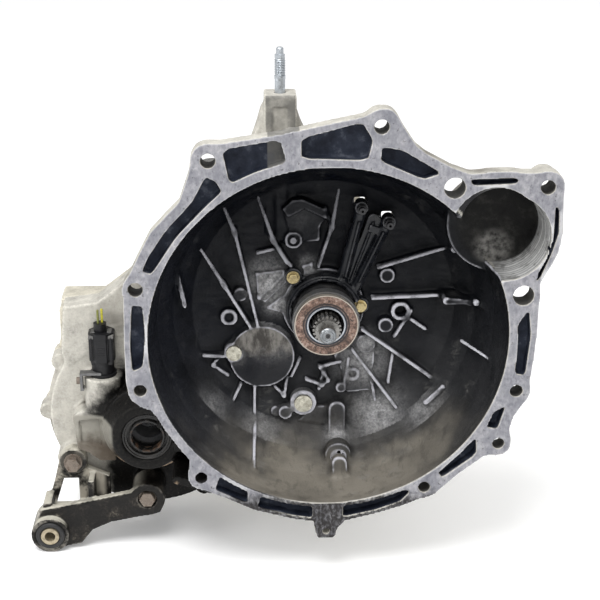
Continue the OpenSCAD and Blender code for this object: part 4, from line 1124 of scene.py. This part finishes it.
def m_polymer(name, c, rough=0.5, dust=(0.12, 0.11, 0.10), amount=0.4, spec=0.45, grain=700):
    """Rubber or moulded plastic with dust, scuffs and a fine skin."""
    M = Mat(name, rough=rough, spec=spec)
    mid = M.noise(80, 5, 0.62)
    skin = M.noise(grain, 3, 0.65)
    col = M.ramp(mid, [(0.34, [v * 0.6 for v in c]), (0.55, c), (0.72, [v * 1.5 for v in c])])
    col = M.mix(M.span(mid, 0.5, 0.68) * M.span(skin, 0.4, 0.62) * amount, col, dust)
    return M.out(col, M.span(mid, 0.3, 0.7, max(0.1, rough - 0.14), rough + 0.14), bump=skin, strength=0.2,
                 dist=0.0005)


def m_bearing():
    """Rusty pink face of the release bearing: bright rims, a dark groove and radial wipe marks."""
    M = Mat("bearing_race", metallic=0.35, rough=0.5)
    X, Z = M.axis(0), M.axis(2)
    r = M.away(X, Z)
    mid = M.noise(95, 5, 0.68)
    fine = M.noise(520, 3, 0.6)
    col = M.ramp(mid * 0.6 + fine * 0.4,
                 [(0.36, (0.020, 0.013, 0.011)), (0.45, (0.10, 0.058, 0.042)), (0.54, (0.22, 0.140, 0.108)),
                  (0.64, (0.38, 0.31, 0.27)), (0.74, (0.50, 0.46, 0.42))])
    ring = abs(r - 0.0205)
    col = M.mix(M.span(M.noise(240, 4, 0.7, at=(3, 0, 5)), 0.52, 0.62) * 0.75, col, (0.055, 0.032, 0.024))
    col = M.mix(M.span(ring, 0.0011, 0.0004), col, (0.02, 0.015, 0.014))
    col = M.mix(M.span(M.noise(420, 3, 0.6, at=(6, 6, 6)), 0.57, 0.66) * 0.8, col, (0.02, 0.014, 0.012))
    col = M.mix(M.span(r, 0.0196, 0.0190), col, (0.03, 0.033, 0.04))
    col = M.mix(M.span(abs(r - 0.0168), 0.0009, 0.0004), col, (0.42, 0.44, 0.47))
    col = M.mix(M.span(r, 0.0276, 0.0283), col, (0.40, 0.36, 0.31))
    met = M.clamp(M.span(r, 0.0190, 0.0182, 0.25, 0.85) + M.span(r, 0.0274, 0.0281, 0, 0.5))
    lines = M.math("SINE", r * 5200)
    return M.out(col, M.span(mid, 0.3, 0.7, 0.36, 0.62), met, bump=fine + lines * 0.12, strength=0.25)


def m_black_gloss():
    """Black coated release cylinder: wet looking, with bright edges, partly rubbed wear and partly painted
    highlight.
    """
    M = Mat("black_gloss", rough=0.30, spec=0.32)
    mid = M.noise(110, 4, 0.6)
    fine = M.noise(900, 3, 0.6)
    col = M.ramp(mid, [(0.35, (0.003, 0.0035, 0.005)), (0.6, (0.007, 0.008, 0.011)),
                       (0.78, (0.03, 0.03, 0.032))])
    # bright edges: partly rubbed wear, partly painted highlight
    wear = M.clamp(M.span(M.attr("edge"), 0.33, 0.22) * M.span(mid, 0.42, 0.60))
    col = M.mix(wear * 0.6, col, (0.26, 0.26, 0.28))
    return M.out(col, M.span(mid, 0.3, 0.7, 0.2, 0.42), bump=fine, strength=0.1)


def m_seal():
    """Black oil seals, wet with oil, with a painted brown highlight on the lip that meets the shaft."""
    M = Mat("seal_rubber", rough=0.34, spec=0.3)
    X, Z = M.axis(0), M.axis(2)
    d = M.away(X - DIF[0] * MM, Z - DIF[1] * MM)
    mid = M.noise(160, 4, 0.6)
    col = M.ramp(mid, [(0.35, (0.006, 0.006, 0.006)), (0.65, (0.022, 0.020, 0.018))])
    # painted highlight: the seal lip brown where it catches the light
    col = M.mix(M.span(d, 0.0162, 0.0150) * M.span(mid, 0.45, 0.65), col, (0.08, 0.048, 0.03))
    return M.out(col, M.span(mid, 0.3, 0.7, 0.2, 0.45), bump=M.noise(800, 2), strength=0.12)


def m_bracket():
    """Brown-black greased bracket with pale worn edges and inner faces, upward faces at its right end painted
    paler as if lit from above, and painted shade in its corners.
    """
    M = Mat("bracket_skin", rough=0.55, spec=0.2)
    mid = M.noise(75, 5, 0.62)
    fine = M.noise(480, 4, 0.7)
    occ, edge, X, Y = M.attr("occ"), M.attr("edge"), M.axis(0), M.axis(1)
    col = M.ramp(mid * 0.65 + fine * 0.35,
                 [(0.34, (0.003, 0.0027, 0.0023)), (0.50, (0.008, 0.007, 0.006)),
                  (0.58, (0.022, 0.019, 0.016)), (0.68, (0.14, 0.125, 0.10))])
    back = M.span(Y, 0.079, 0.083) * M.span(mid, 0.34, 0.56)
    col = M.mix(back * M.span(X, -0.208, -0.213) * 0.85, col, (0.38, 0.35, 0.29))
    up = M.out_of("SeparateXYZ", 2, {0: M.out_of("NewGeometry", "Normal")})
    # painted light: upward faces at the right end made paler as if lit from above
    top = M.span(up, 0.35, 0.8) * M.span(X, -0.168, -0.190)
    col = M.mix(top * M.span(mid, 0.34, 0.52, 0.5, 1.0), col, (0.42, 0.40, 0.34))
    col = M.mix(M.span(edge, 0.40, 0.26) * M.span(mid, 0.46, 0.62) * 0.55, col, (0.34, 0.32, 0.28))
    # painted shade in the bracket's corners
    col = M.mix(M.span(occ, 0.55, 0.75) * 0.8, col, (0.008, 0.007, 0.006))
    return M.out(col, M.span(mid, 0.3, 0.7, 0.34, 0.66), bump=fine, strength=0.4, dist=0.0009)


def m_wires():
    """Olive and yellow sleeves of the sensor's two wires."""
    M = Mat("wire_sleeve", rough=0.45)
    side = M.span(M.axis(0), -0.2082, -0.2074)
    col = M.mix(side, (0.16, 0.17, 0.035), (0.50, 0.46, 0.03))
    col = M.mix(M.span(M.noise(500, 3), 0.5, 0.65) * 0.5, col, (0.06, 0.055, 0.04))
    return M.out(col, bump=M.noise(900, 2), strength=0.1)


# ---------------------------------------------------------------- build
def place(ob, mat, body, slot, *nodes):
    """Gives a piece its material and body, and hides the CAD nodes that it stands in for; slot is not used.
    """
    ob.data.materials.clear()
    ob.data.materials.append(mat)
    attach(ob, body)
    if nodes:
        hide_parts(*nodes)
    return ob


cast_bell = m_casting("bell_casting", (0.40, 0.385, 0.345), (0.070, 0.062, 0.050), bell=True)
cast_case = m_casting("case_casting", (0.42, 0.395, 0.33), (0.075, 0.064, 0.047))
for name, make, mat, slot in (("clutch_housing", build_housing, cast_bell, "bell_casting"),
                              ("gear_case", build_gear_case, cast_case, "case_casting"),
                              ("end_cover", build_cover, cast_case, "case_casting"),
                              ("mount_bracket", build_bracket, m_bracket(), "bracket_casting"),
                              ("slave_cylinder", build_slave, m_black_gloss(), "black_plastic")):
    V, P, Q = make()
    ob = grid_mesh(name + "_cast", P, Q, attributes(V, P, name == "clutch_housing"))
    place(ob, mat, "housing", slot, name)

zinc = m_metal("zinc_blue", (0.52, 0.55, 0.58), 0.34, 0.85, 0.5, (0.20, 0.18, 0.15))
yellow = m_metal("zinc_yellow", (0.40, 0.325, 0.17), 0.36, 0.8, 0.5, (0.16, 0.11, 0.06))
silver = m_metal("plug_steel", (0.40, 0.385, 0.32), 0.34, 0.8, 0.55, (0.16, 0.13, 0.09))
rusty = m_metal("rusty_bolt", (0.17, 0.14, 0.115), 0.55, 0.5, 0.9, (0.07, 0.035, 0.018))
bolt = m_metal("case_bolt", (0.40, 0.38, 0.35), 0.45, 0.7, 0.7, (0.12, 0.08, 0.05))
ground = m_metal("ground_steel", (0.20, 0.195, 0.185), 0.30, 0.95, 0.6, (0.05, 0.045, 0.04),
                 grain=(1, 0.08, 1))
gear = m_metal("gear_steel", (0.36, 0.36, 0.37), 0.32, 0.9, 0.35, (0.10, 0.09, 0.08))
dark = m_metal("dark_steel", (0.13, 0.13, 0.13), 0.40, 0.6, 0.6)
iron = m_metal("cast_iron", (0.17, 0.17, 0.175), 0.6, 0.5, 0.5, bump=0.4)
tip = m_metal("shaft_tip_steel", (0.20, 0.21, 0.22), 0.32, 0.8, 0.6)
black = m_metal("black_steel", (0.012, 0.012, 0.014), 0.36, 0.2, 0.3, (0.004, 0.004, 0.004))
brassy = m_metal("brass", (0.62, 0.46, 0.20), 0.34, 0.9, 0.4, (0.20, 0.13, 0.06))
bronze = m_metal("bush_sleeve", (0.36, 0.31, 0.22), 0.45, 0.7, 0.6, (0.10, 0.08, 0.05))
rubber = m_polymer("black_rubber", (0.014, 0.014, 0.015), 0.62, (0.10, 0.09, 0.08), 0.5)
plastic = m_polymer("black_plastic", (0.009, 0.009, 0.0105), 0.46, (0.10, 0.095, 0.09), 0.3, spec=0.26,
                    grain=1100)
greycap = m_polymer("grey_cap", (0.10, 0.098, 0.095), 0.55, (0.28, 0.27, 0.25), 0.5)

NODE_MATS = {
    "case_bolts": bolt, "bracket_bolts": rusty, "bush_rubber": rubber, "bush_sleeve": bronze,
    "slave_bolts": yellow, "slave_unions": black, "slave_piston": black, "release_boot": rubber,
    "release_race_outer": dark, "release_race_inner": m_bearing(), "release_balls": ground,
    "input_shaft": ground, "shaft_bearings": ground, "diff_bearings": ground, "oil_seals": m_seal(),
    "output_shaft": ground, "synchro_hubs": gear, "synchro_rings": brassy, "fork_rail": ground,
    "fork_first_second": brassy, "fork_third_fourth": brassy, "fork_fifth_reverse": brassy,
    "selector_shaft": ground, "selector_lever": zinc, "diff_case": iron, "diff_pin": ground,
    "speed_sensor": plastic, "sensor_clamp": dark, "clamp_screw": rusty, "sensor_wires": m_wires(),
    "core_plugs": silver, "oil_plugs": zinc, "breather": zinc, "reverse_light_switch": yellow}
for name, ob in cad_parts.items():
    if ob.hide_render:
        continue
    ob.data.materials.clear()
    ob.data.materials.append(NODE_MATS.get(name, gear))
    if name in ("case_bolts", "bracket_bolts", "slave_bolts", "clamp_screw", "oil_plugs", "breather",
                "reverse_light_switch", "selector_lever", "core_plugs", "sensor_clamp", "slave_unions"):
        m = ob.modifiers.new("edge", "BEVEL")
        m.width, m.segments, m.limit_method, m.angle_limit = 0.00035, 2, "ANGLE", math.radians(40)

# bellows of the clutch release: it rides whole on the release slide body
BOOT_FRONT, BOOT_STEP, BOOT_FOLDS, travel = 58, 3.1, 8, 10
folds = [(25.7 + 1.5 * (k % 2), BOOT_FRONT + BOOT_STEP * k) for k in range(BOOT_FOLDS + 1)]
boot = lathe("release_bellows", folds + [(r - 1.2, y) for r, y in reversed(folds)], (0, 0), close=True)
place(boot, rubber, "release_slide", "black_rubber", "release_boot")
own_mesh(boot)
# stud with its thread
place(stud(), m_metal("stud_zinc", (0.44, 0.47, 0.50), 0.36, 0.85, 0.15), "housing", "zinc_plate",
      "mount_stud")
# turned end of the input shaft, with its centre
place(lathe("shaft_tip", [(2.0, 17.4), (2.5, 16.1), (3.4, 15.6), (4.6, 15.6), (4.9, 15.9), (5.3, 15.6),
                          (6.6, 15.6), (7.5, 16.4), (7.55, 17.4)], (0, 0), close=True),
      tip, "input", "machined_steel")
place(lathe("shaft_centre", [(2.25, 16.9), (2.1, 16.1), (0.9, 16.25), (0.3, 16.3)], (0, 0), n=24), black,
      "input", "dark_steel")
# connector on the sensor: collar, latch, rails and a grey top edge
place(block("connector_shell", [((-207, 88, -36), (11.4, 9.6, 11), 1.0),
                                ((-207, 79.4, -34), (4.4, 2.6, 12.5), 0.9),
                                ((-207, 77.6, -25), (5.4, 1.6, 3.0), 0.85),
                                ((-207, 88, -49), (9.8, 8.4, 3.0), 1.1)], 0.8),
      plastic, "housing", "black_plastic")
rails = [((-207 + 9.2 * side, 77.9, -35), (0.9, 0.8, 11), 1.0) for side in (-1, -0.62, 0.62, 1)]
rungs = [((-207, 76.5, -41 + 2.4 * i), (3.6, 0.7, 0.6), 1.0) for i in range(4)]
place(block("connector_rails", rails + rungs, 0.25), plastic, "housing", "black_plastic")
place(block("connector_cap", [((-207, 88, -23.4), (11.9, 10.1, 1.6), 0.96),
                              ((-214.5, 88, -21.2), (2.6, 6, 1.4), 0.8),
                              ((-199.5, 88, -21.2), (2.6, 6, 1.4), 0.8)], 0.5),
      greycap, "housing", "black_plastic")
# lip rings on the bush and washers under the bracket bolts
place(lathe("bush_lip", [(9.2, 51.6), (9.8, 50.9), (12.6, 50.9), (13.6, 51.8), (13.6, 53.4), (9.2, 53.4)],
            BUSH, close=True),
      rubber, "housing", "black_rubber")
for i, (b, y) in enumerate(((BR[0], 63.2), (BR[1], 78.7))):
    place(lathe("bracket_washer_%d" % i, [(4.4, y - 0.2), (4.4, y + 0.75), (8.8, y + 0.75), (8.9, y + 0.2),
                                          (8.6, y - 0.2)], b, close=True),
          rusty, "housing", "rusty_steel")
# lip and case ring of the output seal
place(lathe("seal_lip", [(14.1, 49.5), (14.6, 48.2), (16.2, 47.8), (17.0, 48.8), (16.2, 50.4), (14.8, 50.6)],
            DIF, close=True),
      NODE_MATS["oil_seals"], "housing", "black_rubber")
place(lathe("seal_case_ring", [(20.6, 48.2), (21.4, 47.1), (22.7, 47.1), (22.9, 48.4), (22.9, 49.5),
                               (20.6, 49.5)], DIF, close=True),
      NODE_MATS["oil_seals"], "housing", "dark_steel")

# ---------------------------------------------------------------- stage, light, camera
WORLD_LOW, WORLD_TOP = 0.35, 1.0
LIGHTS = [("key", (-0.35, -0.75, 1.6), (0, 0.05, 0), 1.0, 28),
          ("front", (0.2, -1.9, 0.7), (0, 0.05, 0), 1.0, 7),
          ("left", (-1.5, -0.6, 0.9), (-0.1, 0.05, 0), 0.8, 7)]
bpy.context.scene.view_settings.view_transform = "Standard"
zmin = start_box[0][2]
bpy.ops.mesh.primitive_plane_add(size=24, location=(0, 4, zmin))
floor = bpy.context.object
floor.name = "floor"
F = Mat("floor_white", rough=0.9, spec=0.1)
F.out(F.mix(F.noise(3, 2), (0.93, 0.93, 0.93), (0.95, 0.95, 0.95)))
F.b.inputs["Emission Color"].default_value = (1, 1, 1, 1)
F.b.inputs["Emission Strength"].default_value = 0.125
floor.data.materials.append(F.m)

world = bpy.data.worlds.new("studio")
bpy.context.scene.world = world
world.use_nodes = True
wt = world.node_tree
bg = wt.nodes["Background"]
tc = wt.nodes.new("ShaderNodeTexCoord")
sx = wt.nodes.new("ShaderNodeSeparateXYZ")
mr = wt.nodes.new("ShaderNodeMapRange")
mr.interpolation_type = "SMOOTHSTEP"
for k, v in (("From Min", -0.05), ("From Max", 0.75), ("To Min", WORLD_LOW), ("To Max", WORLD_TOP)):
    mr.inputs[k].default_value = v
wt.links.new(tc.outputs["Generated"], sx.inputs[0])
wt.links.new(sx.outputs[2], mr.inputs["Value"])
wt.links.new(mr.outputs[0], bg.inputs["Strength"])
bg.inputs["Color"].default_value = (1, 1, 1, 1)


def area(name, at, to, size, power):
    d = bpy.data.lights.new(name, "AREA")
    d.shape, d.size, d.energy = "DISK", size, power
    o = bpy.data.objects.new(name, d)
    o.location = at
    o.rotation_euler = (Vector(to) - Vector(at)).to_track_quat("-Z", "Y").to_euler()
    bpy.context.scene.collection.objects.link(o)


for row in LIGHTS:
    area(*row)

TARGET = Vector((-0.0255, 0.0, 0.0409))
az, el = math.radians(-2.34), math.radians(20.8)
back = Vector((math.sin(az) * math.cos(el), -math.cos(az) * math.cos(el), math.sin(el)))
cam = bpy.data.cameras.new("camera")
cam.sensor_width, cam.lens, cam.clip_start = 36, 83.64, 0.05
co = bpy.data.objects.new("camera", cam)
co.location = TARGET + back * 1.2
co.rotation_mode = "QUATERNION"
co.rotation_quaternion = (-back).to_track_quat("-Z", "Y")
bpy.context.scene.collection.objects.link(co)
bpy.context.scene.camera = co

bpy.context.view_layer.update()
